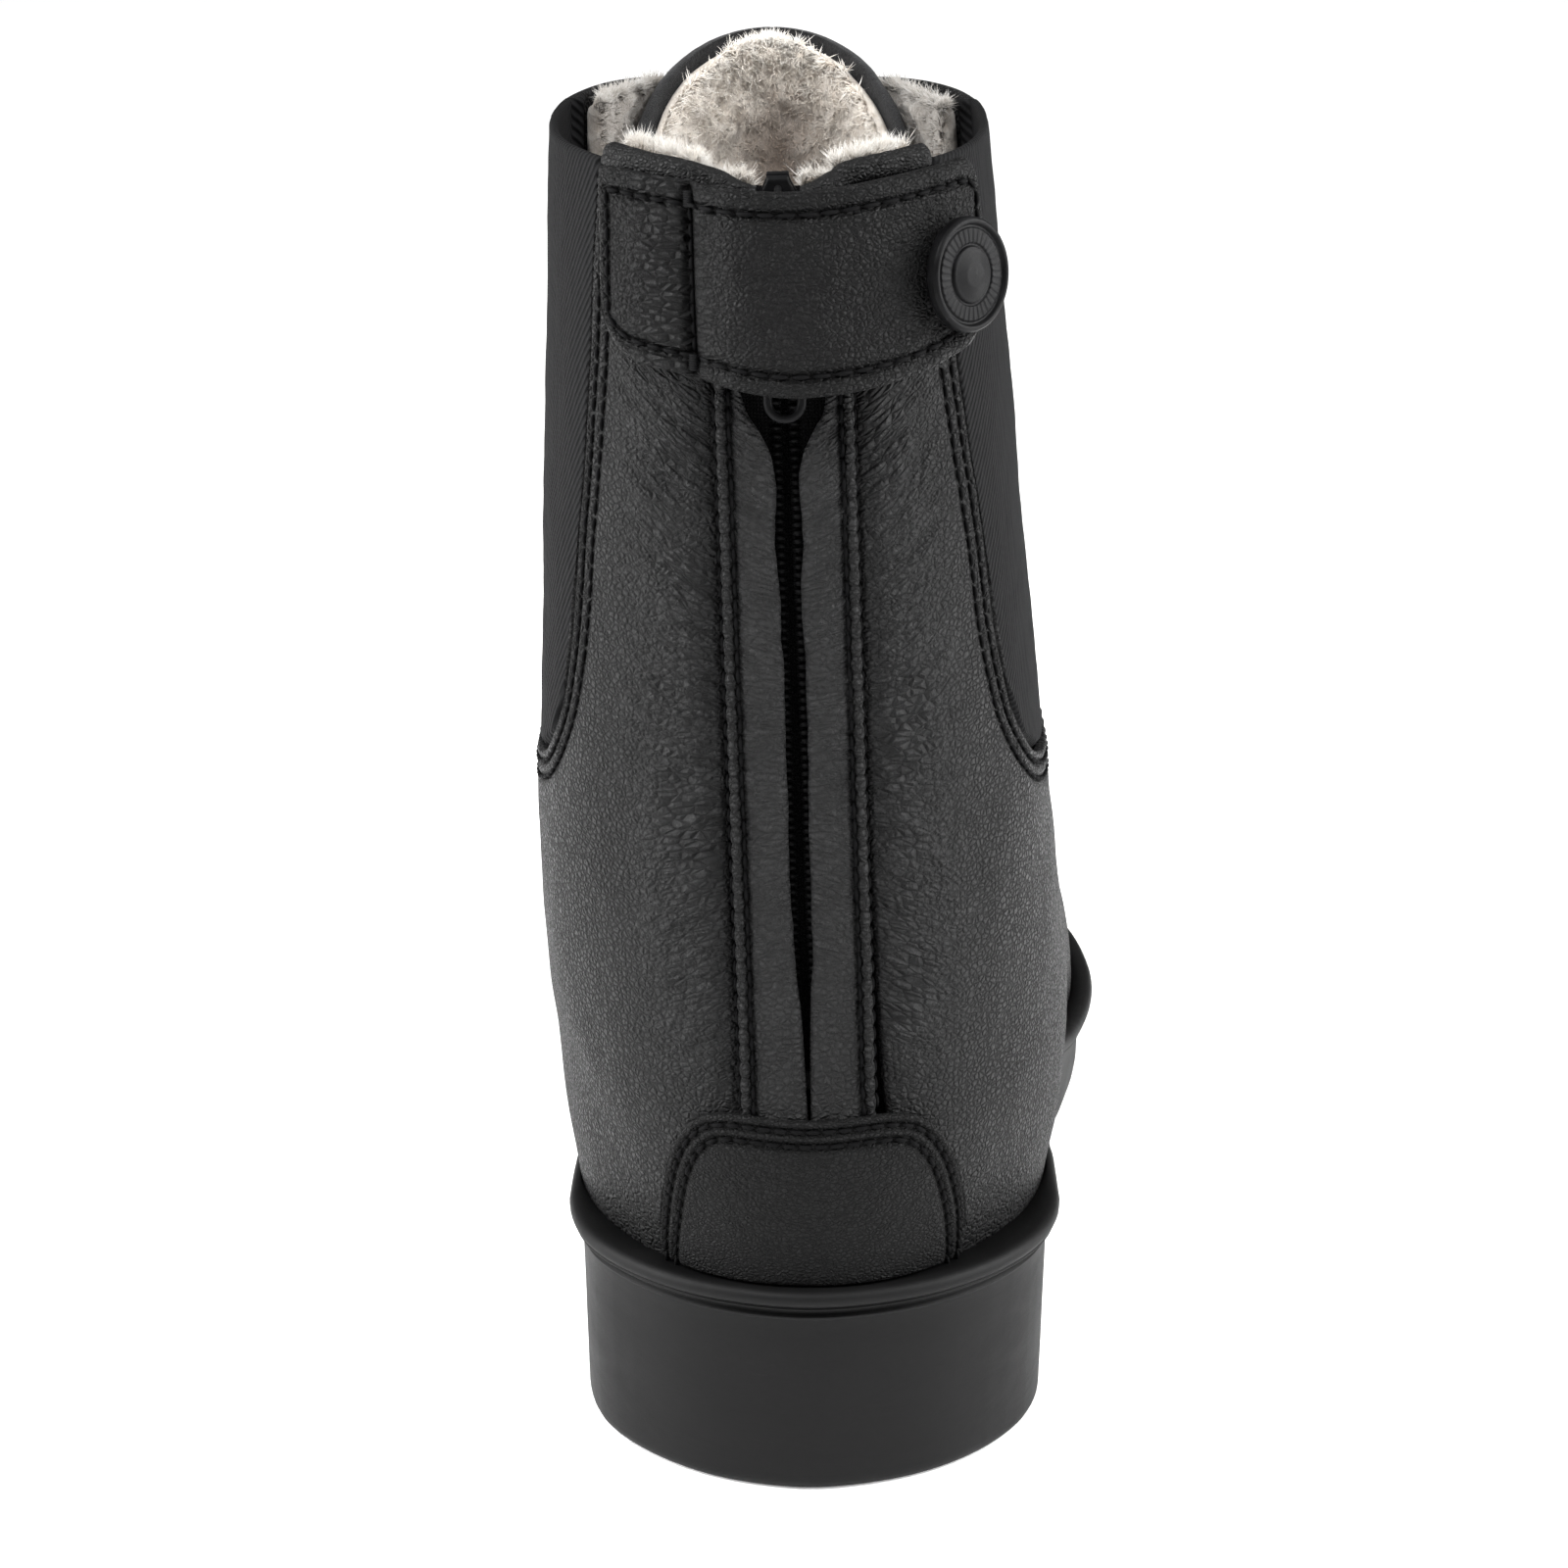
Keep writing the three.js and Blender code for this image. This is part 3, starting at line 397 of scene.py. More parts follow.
def rim_of(rows, columns):
    """The numbers of a grid's border points, in order round it."""
    top = np.arange(columns - 1)
    right = np.arange(rows - 1) * columns + columns - 1
    bottom = (rows - 1) * columns + np.arange(columns - 1, 0, -1)
    left = np.arange(rows - 1, 0, -1) * columns
    return np.concatenate([top, right, bottom, left])


def lengths(points):
    steps = np.linalg.norm(np.diff(points, axis=0), axis=-1)
    return np.concatenate([[0], np.cumsum(steps)])


def along(points, k, sharp=()):
    """Places on the smooth line through points, k counted in points. The line may turn sharply at some."""
    p = np.asarray(points, float)
    k = np.asarray(k, float)
    n = len(p)
    into, out = np.empty_like(p), np.empty_like(p)
    into[1:], out[:-1] = p[1:] - p[:-1], p[1:] - p[:-1]
    into[0], out[-1] = out[0], into[-1]
    middle = [i for i in range(1, n - 1) if i not in sharp]
    into[middle] = out[middle] = (p[np.array(middle, int) + 1] - p[np.array(middle, int) - 1]) / 2
    i = np.clip(np.floor(k).astype(int), 0, n - 2)
    t = (k - i)[..., None]
    return hermite(t, p[i], out[i], p[i + 1], into[i + 1])


def spread(length, step, edge=0.8):
    """Fractions from 0 to 1 about a step apart, closer together by both ends."""
    near = np.array([0, 0.1, 0.3, 0.6]) * edge / length
    inner = np.linspace(edge / length, 1 - edge / length, max(3, round(length / step)))
    return np.concatenate([near, inner, 1 - near[::-1]])


def ruled(lower, upper, step, sharp=(), space=shaft_space):
    """A grid of names ruled between two smooth edges."""
    coarse = np.linspace(0, len(lower) - 1, 40 * len(lower))
    low, _ = space.place(along(lower, coarse, sharp))
    high, _ = space.place(along(upper, coarse, sharp))
    run = (lengths(low) + lengths(high)) / 2
    k = np.interp(spread(run[-1], step) * run[-1], run, coarse)
    tall = np.percentile(np.linalg.norm(high - low, axis=-1), 75)
    t = spread(tall, step)[:, None, None]
    return along(lower, k, sharp) * (1 - t) + along(upper, k, sharp) * t


def rings(segments, side, up, wide=1.0, high=1.0):
    """Rings of points round zero, one for every pair of directions."""
    turn = np.linspace(0, 2 * np.pi, segments, endpoint=False)[:, None]
    return wide * np.cos(turn) * side[..., None, :] + high * np.sin(turn) * up[..., None, :]


def nearest(points, targets):
    """Distance from every point to the nearest target."""
    tree = kdtree.KDTree(len(targets))
    for i, p in enumerate(targets):
        tree.insert(p, i)
    tree.balance()
    flat = points.reshape(-1, 3)
    return np.array([tree.find(p)[2] for p in flat]).reshape(points.shape[:-1])


def even(line, pitch, space=shaft_space):
    """A line of names sampled evenly: points, normals."""
    fine = along(line, np.linspace(0, len(line) - 1, 24 * len(line)))
    run = lengths(space.place(fine)[0])
    count = max(2, round(run[-1] / pitch) + 1)
    at = np.linspace(0, run[-1], count)
    names = np.stack([np.interp(at, run, fine[:, k]) for k in range(2)], -1)
    points, normals = space.place(names)
    return names, points, normals


def inset(line, distance, pitch=3.0, trim=(0.0, 0.0)):
    """The line moved sideways over the skin, to its left as seen from outside, and trimmed."""
    _, points, normals = even(line, pitch)
    tangent = unit(np.gradient(points, axis=0))
    moved = points + np.cross(normals, tangent) * distance
    run = lengths(points)
    keep = (run >= trim[0]) & (run <= run[-1] - trim[1])
    return shaft_name(moved[keep])


class Sewing:
    """Stitches gathered from several lines into one piece, and the grooves that they lie in."""

    def __init__(self):
        self.vertices, self.faces, self.count = [], [], 0
        self.rows, self.holes = [], []

    def row(self, line, lift, pitch=STITCH, radius=THREAD, space=shaft_space):
        """lift(names, points) is how far the surface stands off the skin there."""
        names, points, normals = even(line, pitch, space)
        self.rows.append(even(line, 0.4, space)[1])
        self.holes.append(points)
        tops = points + normals * (lift(names, points)[:, None] - 0.12)
        self.stitches(tops[:-1], tops[1:], (normals[:-1] + normals[1:]) / 2, radius)

    def stitches(self, starts, ends, normals, radius):
        """Plump threads from starts to ends, their own ends sunk in the surface."""
        sides = 6
        fat = np.array([0.45, 0.85, 1, 1, 0.85, 0.45]) * radius
        way = ends - starts
        normal = unit(normals)
        side = unit(np.cross(way, normal))
        t = np.linspace(0.09, 0.91, len(fat))
        sink = 0.34 * (np.abs(2 * t - 1) ** 3)
        end = np.array([[0, 1, 2, 3], [0, 3, 4, 5]])
        for a, w, n, s in zip(starts, way, normal, side):
            centre = a + t[:, None] * w - sink[:, None] * n
            body = centre[:, None] + fat[:, None, None] * rings(sides, s, n)
            self.vertices.append(body.reshape(-1, 3))
            self.faces += [grid_faces(len(fat), sides, self.count, wrap=True),
                           end[:, ::-1] + self.count, end + self.count + (len(fat) - 1) * sides]
            self.count += len(fat) * sides

    def groove(self, points):
        """How deep the leather is pulled in at points."""
        if not self.rows:
            return np.zeros(points.shape[:-1])
        row = nearest(points, np.concatenate(self.rows))
        hole = nearest(points, np.concatenate(self.holes))
        return 0.55 * bell(row, 0.7) + 0.3 * bell(hole, 0.5)

    def make(self, name, look, **more):
        return make(name, np.concatenate(self.vertices), np.concatenate(self.faces), look, **more)


def soft_lift(base, depth=0.0, size=1.0, seed=0):
    """A stand-off from the skin with gentle swells."""
    return lambda names, points: base + depth * noise(points, size, seed)


def edge_arch(points, rim, round_edge):
    """A quarter round from 0 at a grid's border up to 1."""
    fall = 1 - np.clip(nearest(points, points.reshape(-1, 3)[rim]) / round_edge, 0, 1)
    return np.sqrt(np.maximum(0, 1 - fall**2))


def skin_panel(name, names, offset, look, thick=LEATHER, closed=False, round_edge=0.8, sewing=None,
               pile=None, holes=(), hole_radius=3.0, space=shaft_space, **more):
    """A panel of the boot over a grid of names. offset(names, points) is its outer face's stand-off.

    A closed panel has an inner face too; the others end in an edge turned in, backed by the lining.
    pile(points) is how far the inner face swells inwards. Faces round the holes are left out.
    """
    points, normals = space.place(names)
    rows, columns = points.shape[:2]
    rim = rim_of(rows, columns)
    arch = edge_arch(points, rim, round_edge)
    lift = offset(names, points)
    if sewing:
        lift = lift - sewing.groove(points)
    outer = lift - (1 - arch) * thick / 2
    top = (points + normals * outer[..., None]).reshape(-1, 3)
    flat = chart(points)
    if closed:
        inner = lift - thick / 2 - arch * thick / 2
        if pile:
            inner = inner - pile(points) * arch
        low = (points + normals * inner[..., None]).reshape(-1, 3)
        kept = np.ones(len(low), bool)
        kept[rim] = False
        number = np.empty(len(low), int)
        number[kept] = len(top) + np.arange(kept.sum())
        number[rim] = rim
        closing = number[grid_faces(rows, columns, flip=True)]
    else:
        kept = rim
        low = (points - normals * (thick - lift)[..., None]).reshape(-1, 3)
        own = len(top) + np.arange(len(rim))
        closing = np.stack([np.roll(rim, -1), rim, own, np.roll(own, -1)], -1)
    vertices = np.concatenate([top, low[kept]])
    uv = np.concatenate([flat, flat[kept]])
    faces = np.concatenate([grid_faces(rows, columns), closing])
    for centre in holes:
        gone = np.linalg.norm(vertices - centre, axis=-1) < hole_radius
        faces = faces[~gone[faces].any(1)]
    r, c = rows // 2, columns // 2
    across, up = points[r, c + 1] - points[r, c], points[r + 1, c] - points[r, c]
    if np.dot(np.cross(across, up), normals[r, c]) < 0:
        faces = faces[:, ::-1]
    return make(name, vertices, faces, look, uv=uv, solid=False, **more)


def arc_of(points, axis):
    """Length in millimetres along the rows or columns of a grid."""
    steps = np.linalg.norm(np.diff(points, axis=axis), axis=-1)
    zero = np.zeros_like(np.take(steps, [0], axis=axis))
    return np.concatenate([zero, np.cumsum(steps, axis=axis)], axis=axis)


def chart(points):
    """Flat coordinates in millimetres for a grid of points."""
    return np.stack([arc_of(points, 1), arc_of(points, 0)], -1).reshape(-1, 2)


def tube(name, centres, radius, look, sides, shape, high=1.0, **more):
    """A rod along points, closed and rounded at both ends. shape(turn, run) scales its radius."""
    way = unit(np.gradient(centres, axis=0))
    side = unit(np.cross(way, [0.0, 0.0, 1.0]))
    up = np.cross(side, way)
    fat = np.broadcast_to(np.asarray(radius, float), len(centres)).copy()
    fat[0] = fat[-1] = fat[0] * 0.3
    turn = np.linspace(0, 2 * np.pi, sides, endpoint=False)[None, :]
    run = lengths(centres)[:, None]
    ring = rings(sides, side, up, 1.0, high) * shape(turn, run)[..., None]
    vertices = (centres[:, None] + ring * fat[:, None, None]).reshape(-1, 3)
    n = len(centres)
    flat = np.stack(np.broadcast_arrays(run, turn * fat.max()), -1).reshape(-1, 2)
    i = np.arange(sides)
    j = (i + 1) % sides
    last = (n - 1) * sides
    caps = np.concatenate([
        np.stack([j, i, np.full(sides, n * sides)], -1),
        np.stack([i + last, j + last, np.full(sides, n * sides + 1)], -1),
    ])
    return make(name, np.concatenate([vertices, centres[[0, -1]]]), [grid_faces(n, sides, wrap=True), caps],
                look, uv=np.concatenate([flat, np.zeros((2, 2))]), **more)


def turned(profile, segments):
    """Points and faces of a profile of (radius, height) turned about Z, closed at the axis."""
    profile = np.asarray(profile, float)
    turn = np.linspace(0, 2 * np.pi, segments, endpoint=False)
    r, h = profile[:, 0], profile[:, 1]
    points = np.stack([
        r[:, None] * np.cos(turn), r[:, None] * np.sin(turn), np.broadcast_to(h[:, None], (len(r), segments)),
    ], -1)
    return points.reshape(-1, 3), grid_faces(len(profile), segments, wrap=True)


def rounded(profile, radius=0.15, steps=3):
    """An open profile with its inner corners rounded."""
    p = np.asarray(profile, float)
    out = [p[0]]
    for before, here, after in zip(p[:-2], p[1:-1], p[2:]):
        a, b = before - here, after - here
        reach = min(radius, np.linalg.norm(a) * 0.45, np.linalg.norm(b) * 0.45)
        start, end = here + unit(a) * reach, here + unit(b) * reach
        for t in np.linspace(0, 1, steps):
            out.append((1 - t) ** 2 * start + 2 * t * (1 - t) * here + t**2 * end)
    out.append(p[-1])
    return np.array(out)


def stand(points, place, normal, offset):
    """Points whose own Z points out of the boot, stood on the skin."""
    z = unit(normal)
    x = unit(np.cross([0, 0, 1.0], z))
    y = np.cross(z, x)
    return place + z * offset + points @ np.stack([x, y, z])


# ---------- materials ----------


class Look:
    """A material under way: a Principled shader and the nodes that feed it, sized in millimetres."""

    def __init__(self, name, **plain):
        self.material = bpy.data.materials.new(name)
        self.material.use_nodes = True
        self.tree = self.material.node_tree
        self.shader = self.tree.nodes["Principled BSDF"]
        for key, value in plain.items():
            self.shader.inputs[key.replace("_", " ")].default_value = value
        grow = self.node("VectorMath", {0: self.node("TexCoord").outputs["Object"]})
        grow.operation = "SCALE"
        grow.inputs["Scale"].default_value = 1 / MM
        self.solid = grow.outputs[0]
        flat = self.node("UVMap")
        flat.uv_map = "cloth"
        self.flat = flat.outputs[0]

    def put(self, socket, value):
        if isinstance(value, bpy.types.NodeSocket):
            self.tree.links.new(value, socket)
        else:
            socket.default_value = value

    def node(self, kind, values=None):
        """A new node with values or links for some of its inputs."""
        made = self.tree.nodes.new("ShaderNode" + kind)
        for key, value in (values or {}).items():
            self.put(made.inputs[key], value)
        return made

    def stretch(self, vector, scale):
        return self.node("Mapping", {"Vector": vector, "Scale": scale}).outputs[0]

    def turn(self, vector, degrees):
        return self.node("Mapping", {"Vector": vector, "Rotation": (0, 0, math.radians(degrees))}).outputs[0]

    def noise(self, size, detail=3, rough=0.55, vector=None, warp=0.0):
        made = self.node("TexNoise", {"Vector": vector or self.solid, "Scale": 1 / size, "Detail": detail,
                                      "Roughness": rough, "Distortion": warp})
        return made.outputs["Fac"]

    def cells(self, size, vector):
        """Distance to the edges between cells."""
        made = self.node("TexVoronoi", {"Vector": vector, "Scale": 1 / size})
        made.feature = "DISTANCE_TO_EDGE"
        return made.outputs["Distance"]

    def waves(self, size, vector, axis="X", warp=0.0):
        made = self.node("TexWave", {"Vector": vector, "Scale": math.pi / 10 / size, "Distortion": warp,
                                     "Detail": 1})
        made.bands_direction = axis
        return made.outputs["Fac"]

    def math(self, operation, a, b=0.5):
        made = self.node("Math", {0: a, 1: b})
        made.operation = operation
        return made.outputs[0]

    def ramp(self, value, low, high, start=0.0, end=1.0):
        made = self.node("MapRange", {"Value": value, "From Min": low, "From Max": high, "To Min": start,
                                      "To Max": end})
        return made.outputs[0]

    def blend(self, share, a, b):
        """A mix of two colours, each a socket or three numbers."""
        made = self.tree.nodes.new("ShaderNodeMix")
        made.data_type = "RGBA"
        self.put(made.inputs["Factor"], share)
        for socket, colour in ((6, a), (7, b)):
            self.put(made.inputs[socket], (*colour, 1) if isinstance(colour, tuple) else colour)
        return made.outputs[2]

    def attribute(self, name):
        made = self.node("Attribute")
        made.attribute_name = name
        return made.outputs["Fac"]

    def bump(self, height, depth, strength=1.0, under=None):
        made = self.node("Bump", {"Strength": strength, "Distance": depth * MM, "Height": height})
        if under:
            self.put(made.inputs["Normal"], under)
        return made.outputs[0]

    def finish(self, colour, roughness, normal=None):
        for key, value in (("Base Color", colour), ("Roughness", roughness), ("Normal", normal)):
            if value is not None:
                self.put(self.shader.inputs[key], value)
        return self.material


def leather_look(name, tone, grain, pebble=1.1, rough=(0.32, 0.54), folds=True, shine=0.15):
    """Black grained leather with pores: its pebbles are drawn out into creases where the piece says so."""
    look = Look(name, Specular_IOR_Level=shine)
    crease = look.attribute("crease")
    wobble = look.noise(2.2, 2)
    round_cells = look.cells(pebble, look.stretch(look.solid, (1, 1, 1.35)))
    long_cells = look.cells(0.95, look.stretch(look.flat, (0.36, 1, 1)))
    domes = look.ramp(round_cells, 0, 0.3)
    if folds:
        drawn = look.ramp(long_cells, 0, 0.28)
        domes = look.math("ADD", look.math("MULTIPLY", domes, look.math("SUBTRACT", 1.0, crease)),
                          look.math("MULTIPLY", drawn, crease))
        domes = look.math("MULTIPLY", domes, look.ramp(crease, 0, 1, 1.0, 1.4))
    pores = look.noise(0.3, 3, 0.65)
    broad = look.noise(9, 3)
    normal = look.bump(look.math("MULTIPLY", domes, look.ramp(wobble, 0.25, 0.7, 0.35, 1)), 0.27 * grain)
    normal = look.bump(pores, 0.085 * grain, 0.9, normal)
    # Paler where the surface is pointy: partly rubbed wear on the edges and ridges, partly a painted
    # highlight on the ridge tops.
    rubbed = look.ramp(look.node("NewGeometry").outputs["Pointiness"], 0.505, 0.56)
    dark = tuple(0.4 * t for t in tone)
    pale = tuple(2.6 * t for t in tone)
    colour = look.blend(look.ramp(broad, 0.35, 0.68), dark, tone)
    colour = look.blend(look.math("MULTIPLY", rubbed, 0.8), colour, pale)
    # Painted shade: darker in the crevices between the pebbles and along the drawn-out creases.
    colour = look.blend(look.ramp(domes, 0.15, 0.75), dark, colour)
    roughness = look.math("ADD", look.ramp(pores, 0.3, 0.7, rough[0], rough[1]),
                          look.ramp(domes, 0, 0.8, 0.26, 0))
    return look.finish(colour, roughness, normal)


def thread_look():
    look = Look("thread", Specular_IOR_Level=0.05)
    fibres = look.noise(0.12, 3, 0.6, look.stretch(look.solid, (1, 1, 3)))
    colour = look.blend(look.ramp(fibres, 0.3, 0.7), (0.0008, 0.0008, 0.0009), (0.0035, 0.0035, 0.0038))
    return look.finish(colour, look.ramp(fibres, 0.3, 0.7, 0.5, 0.75), look.bump(fibres, 0.05))


def rubber_look():
    """Moulded black rubber: a fine satin skin with faint flow marks and scuffs."""
    look = Look("moulded_rubber", Specular_IOR_Level=0.11)
    skin = look.noise(0.18, 2)
    flow = look.noise(14, 4, 0.6, look.stretch(look.solid, (1, 1, 2.5)), 0.4)
    scuffs = look.noise(1.4, 5, 0.7, look.stretch(look.solid, (0.3, 0.3, 2.2)))
    tone = look.blend(look.ramp(flow, 0.3, 0.7), (0.0028, 0.0028, 0.0029), (0.0042, 0.0042, 0.0043))
    colour = look.blend(look.ramp(scuffs, 0.66, 0.82, 0, 0.3), tone, (0.024, 0.024, 0.024))
    patchy = look.math("ADD", look.math("MULTIPLY", flow, 0.6), look.math("MULTIPLY", skin, 0.4))
    normal = look.bump(skin, 0.02, 0.6, look.bump(flow, 0.25, 0.5))
    return look.finish(colour, look.ramp(patchy, 0.35, 0.65, 0.5, 0.62), normal)


def elastic_look():
    """Woven elastic: fine upright ribs crossed by a slanting twill."""
    look = Look("woven_elastic", Specular_IOR_Level=0.05)
    twill = look.waves(0.95, look.turn(look.flat, 38), warp=0.3)
    ribs = look.waves(2.6, look.flat)
    fuzz = look.noise(0.22, 3, 0.65)
    normal = look.bump(ribs, 0.10, 0.8)
    normal = look.bump(twill, 0.30, 1.0, normal)
    normal = look.bump(fuzz, 0.08, 0.8, normal)
    weave = look.math("MULTIPLY", look.ramp(twill, 0, 1, 0.45, 1), look.ramp(fuzz, 0.25, 0.75, 0.7, 1))
    colour = look.blend(weave, (0.0012, 0.0012, 0.0013), (0.0115, 0.0115, 0.012))
    return look.finish(colour, look.ramp(fuzz, 0.2, 0.8, 0.72, 0.95), normal)


def shaded(shade, *colours):
    """Colours made darker by a factor, for copies of a look in painted shade."""
    return [tuple(shade * c for c in colour) for colour in colours]


def fleece_look(name, shade):
    """The ground of the woollen pile, with painted shade: darker and warmer in the dips between its clumps,
    where a mesh's share of painted shade says so, and all over by the shade factor.
    """
    look = Look(name, Specular_IOR_Level=0.1, Sheen_Weight=0.3, Sheen_Roughness=0.6)
    # shade darkens every colour, for copies of the fleece in painted shade.
    low, high, tips, dull, roots = shaded(
        shade, (0.60, 0.52, 0.43), (0.86, 0.80, 0.72), (0.92, 0.89, 0.84), (0.50, 0.43, 0.36),
        (0.30, 0.23, 0.18),
    )
    clumps = look.noise(3.2, 4, 0.6, warp=0.6)
    hairs = look.noise(0.35, 4, 0.7, look.stretch(look.solid, (1, 1, 0.4)), 1.2)
    broad = look.noise(16, 2)
    # Painted shade: darker and warmer in the dips between the clumps, the same lumps that the bump raises and
    # lowers.
    colour = look.blend(look.ramp(clumps, 0.32, 0.66), low, high)
    colour = look.blend(look.ramp(hairs, 0.35, 0.7, 0, 0.55), colour, tips)
    colour = look.blend(look.ramp(broad, 0.35, 0.7, 0, 0.25), colour, dull)
    # Painted shade in small patches, dark and warm as deep among the roots.
    colour = look.blend(look.ramp(look.noise(1.5, 4, 0.6), 0.42, 0.6, 0.28, 0), colour, roots)
    # Painted shade, warm and dark, where the mesh's share of painted shade says so.
    colour = look.blend(look.attribute("painted_shade"), colour, (0.15, 0.115, 0.09))
    normal = look.bump(hairs, 0.5, 1.0, look.bump(clumps, 1.2, 0.8))
    return look.finish(colour, 0.95, normal)


def hair_look(name, shade):
    """Single hairs of the pile: warm at the root, pale at the tip."""
    look = Look(name, Specular_IOR_Level=0.2, Sheen_Weight=0.2, Roughness=0.7)
    # shade darkens every colour, for copies of the hairs in painted shade.
    colours = shaded(shade, (0.42, 0.34, 0.27), (0.58, 0.51, 0.43), (0.86, 0.81, 0.73), (0.96, 0.95, 0.92))
    split = look.node("SeparateXYZ", {0: look.flat})
    patch = look.noise(2.6, 3)
    root = look.blend(look.ramp(patch, 0.3, 0.7), *colours[:2])
    tip = look.blend(look.ramp(patch, 0.3, 0.7), *colours[2:])
    colour = look.blend(split.outputs["Y"], root, tip)
    # Painted shade on the hairs where the mesh's share of painted shade says so.
    return look.finish(look.blend(look.attribute("painted_shade"), colour, (0.22, 0.17, 0.13)), 0.7)


def felt_look():
    look = Look("dark_felt", Specular_IOR_Level=0.15, Sheen_Weight=0.08, Sheen_Roughness=0.5)
    mat = look.noise(0.45, 5, 0.72, warp=1.4)
    lumps = look.noise(2.4, 3)
    colour = look.blend(look.ramp(mat, 0.32, 0.68), (0.004, 0.004, 0.0045), (0.022, 0.022, 0.023))
    colour = look.blend(look.ramp(lumps, 0.4, 0.7, 0, 0.4), colour, (0.025, 0.025, 0.027))
    return look.finish(colour, 0.95, look.bump(mat, 0.45, 1.0, look.bump(lumps, 0.4, 0.6)))


def tape_look():
    look = Look("zip_tape_weave", Specular_IOR_Level=0.08)
    warp = look.waves(0.55, look.flat)
    weft = look.waves(0.5, look.flat, "Y")
    weave = look.math("MULTIPLY", warp, weft)
    colour = look.blend(weave, (0.001, 0.001, 0.0011), (0.004, 0.004, 0.0042))
    return look.finish(colour, 0.85, look.bump(weave, 0.15))


def plastic_look():
    look = Look("zip_coil_nylon", Specular_IOR_Level=0.06)
    mould = look.noise(0.6, 3)
    colour = look.blend(look.ramp(mould, 0.3, 0.7), (0.0015, 0.0015, 0.0016), (0.004, 0.004, 0.0042))
    return look.finish(colour, look.ramp(mould, 0.3, 0.7, 0.38, 0.55), look.bump(mould, 0.03, 0.5))


def metal_look():
    """Blackened metal with a satin cast skin and rubbed rims."""
    look = Look("blackened_metal", Metallic=0.05, Specular_IOR_Level=0.065)
    cast = look.noise(0.35, 4, 0.6)
    patina = look.noise(3.5, 3)
    rubbed = look.ramp(look.noise(0.9, 5, 0.7), 0.6, 0.8)
    colour = look.blend(look.ramp(patina, 0.3, 0.7), (0.002, 0.002, 0.0022), (0.005, 0.005, 0.0054))
    colour = look.blend(look.math("MULTIPLY", rubbed, 0.35), colour, (0.035, 0.035, 0.037))
    return look.finish(colour, look.ramp(cast, 0.3, 0.7, 0.36, 0.52), look.bump(cast, 0.03, 0.7))


def steel_look():
    look = Look("brushed_steel", Metallic=1.0)
    lines = look.noise(0.3, 3, 0.6, look.stretch(look.solid, (1, 0.03, 1)))
    colour = look.blend(lines, (0.38, 0.39, 0.40), (0.60, 0.61, 0.62))
    return look.finish(colour, look.ramp(lines, 0.3, 0.7, 0.25, 0.5), look.bump(lines, 0.02))


def board_look():
    look = Look("fibre_board", Specular_IOR_Level=0.2)
    fibres = look.noise(0.8, 5, 0.7, look.stretch(look.solid, (1, 0.5, 1)), 0.8)
    colour = look.blend(look.ramp(fibres, 0.35, 0.65), (0.14, 0.09, 0.05), (0.24, 0.17, 0.10))
    return look.finish(colour, 0.9, look.bump(fibres, 0.15))


leather = leather_look("grained_leather", (0.006, 0.006, 0.0062), 2.6)
smooth_leather = leather_look("smooth_leather", (0.0032, 0.0032, 0.0033), 1.1, 0.8, (0.42, 0.56), False, 0.11)
guard_leather = leather_look("guard_leather", (0.0105, 0.0105, 0.0108), 3.4, 1.2, (0.3, 0.5), shine=0.18)
strap_leather = leather_look("strap_leather", (0.0024, 0.0024, 0.0025), 2.3, 0.95, shine=0.11)
binding_leather = leather_look("binding_leather", (0.003, 0.003, 0.0031), 0.8, 0.8, (0.34, 0.5), False)
thread = thread_look()
rubber = rubber_look()
elastic = elastic_look()
fleece = fleece_look("fleece_ground", 1.0)
hair = hair_look("fleece_hair", 1.0)
# Darker copies of the fleece and its hairs, as painted shade: the facings' lining at the front, the quarters'
# lining and the collar pile at the back.
shaded_front_fleece = fleece_look("front_fleece_ground", 0.36)
shaded_rear_fleece = fleece_look("rear_fleece_ground", 0.72)
shaded_front_hair = hair_look("front_fleece_hair", 0.38)
shaded_rear_hair = hair_look("rear_fleece_hair", 0.6)
felt = felt_look()
tape = tape_look()
nylon = plastic_look()
metal = metal_look()

# ---------- sole ----------

# Forward y, height of the underside in front of the heel.
UNDER = np.array([
    [40, 14.4], [45, 15.6], [52, 14.6], [60, 12], [72, 7.4], [86, 2.6], [98, 0], [112, 0], [170, 0],
    [188, 0], [212, 1.3], [230, 3.4], [246, 6],
], float)
POCKETS = [-24, -14, 18, 28] + list(range(108, 179, 10))
POCKET_WIDE = 4
POCKET_DEEP = 1.6
POCKET_END = 9
# Height from the underside or from the top, and how far the wall is drawn in there.
SOLE_FOOT = ((0, 1.7), (0.12, 1.25), (0.4, 0.8), (0.8, 0.4), (1.4, 0.1), (2.2, 0))
SOLE_LIP = ((1.9, 0), (1.55, -0.1), (1.35, -0.42), (1.1, -0.42), (0.95, 0.2), (0.5, 0.3), (0, 0.3))


def under(y):
    return np.where(y <= HEEL_BREAST + 0.5, 0, np.maximum(0, read(UNDER, 1, y)))


def smooth_ring(points, samples):
    """A closed centripetal curve through points."""
    p = np.asarray(points, float)
    before, after, beyond = np.roll(p, 1, 0), np.roll(p, -1, 0), np.roll(p, -2, 0)
    pairs = (before, p), (p, after), (after, beyond)
    first, span, last = [np.linalg.norm(b - a, axis=1, keepdims=True) ** 0.5 for a, b in pairs]
    start = ((p - before) / first - (after - before) / (first + span) + (after - p) / span) * span
    end = ((after - p) / span - (beyond - p) / (span + last) + (beyond - after) / last) * span
    t = np.linspace(0, 1, samples, endpoint=False)[:, None, None]
    return hermite(t, p, start, after, end).transpose(1, 0, 2).reshape(-1, p.shape[1])


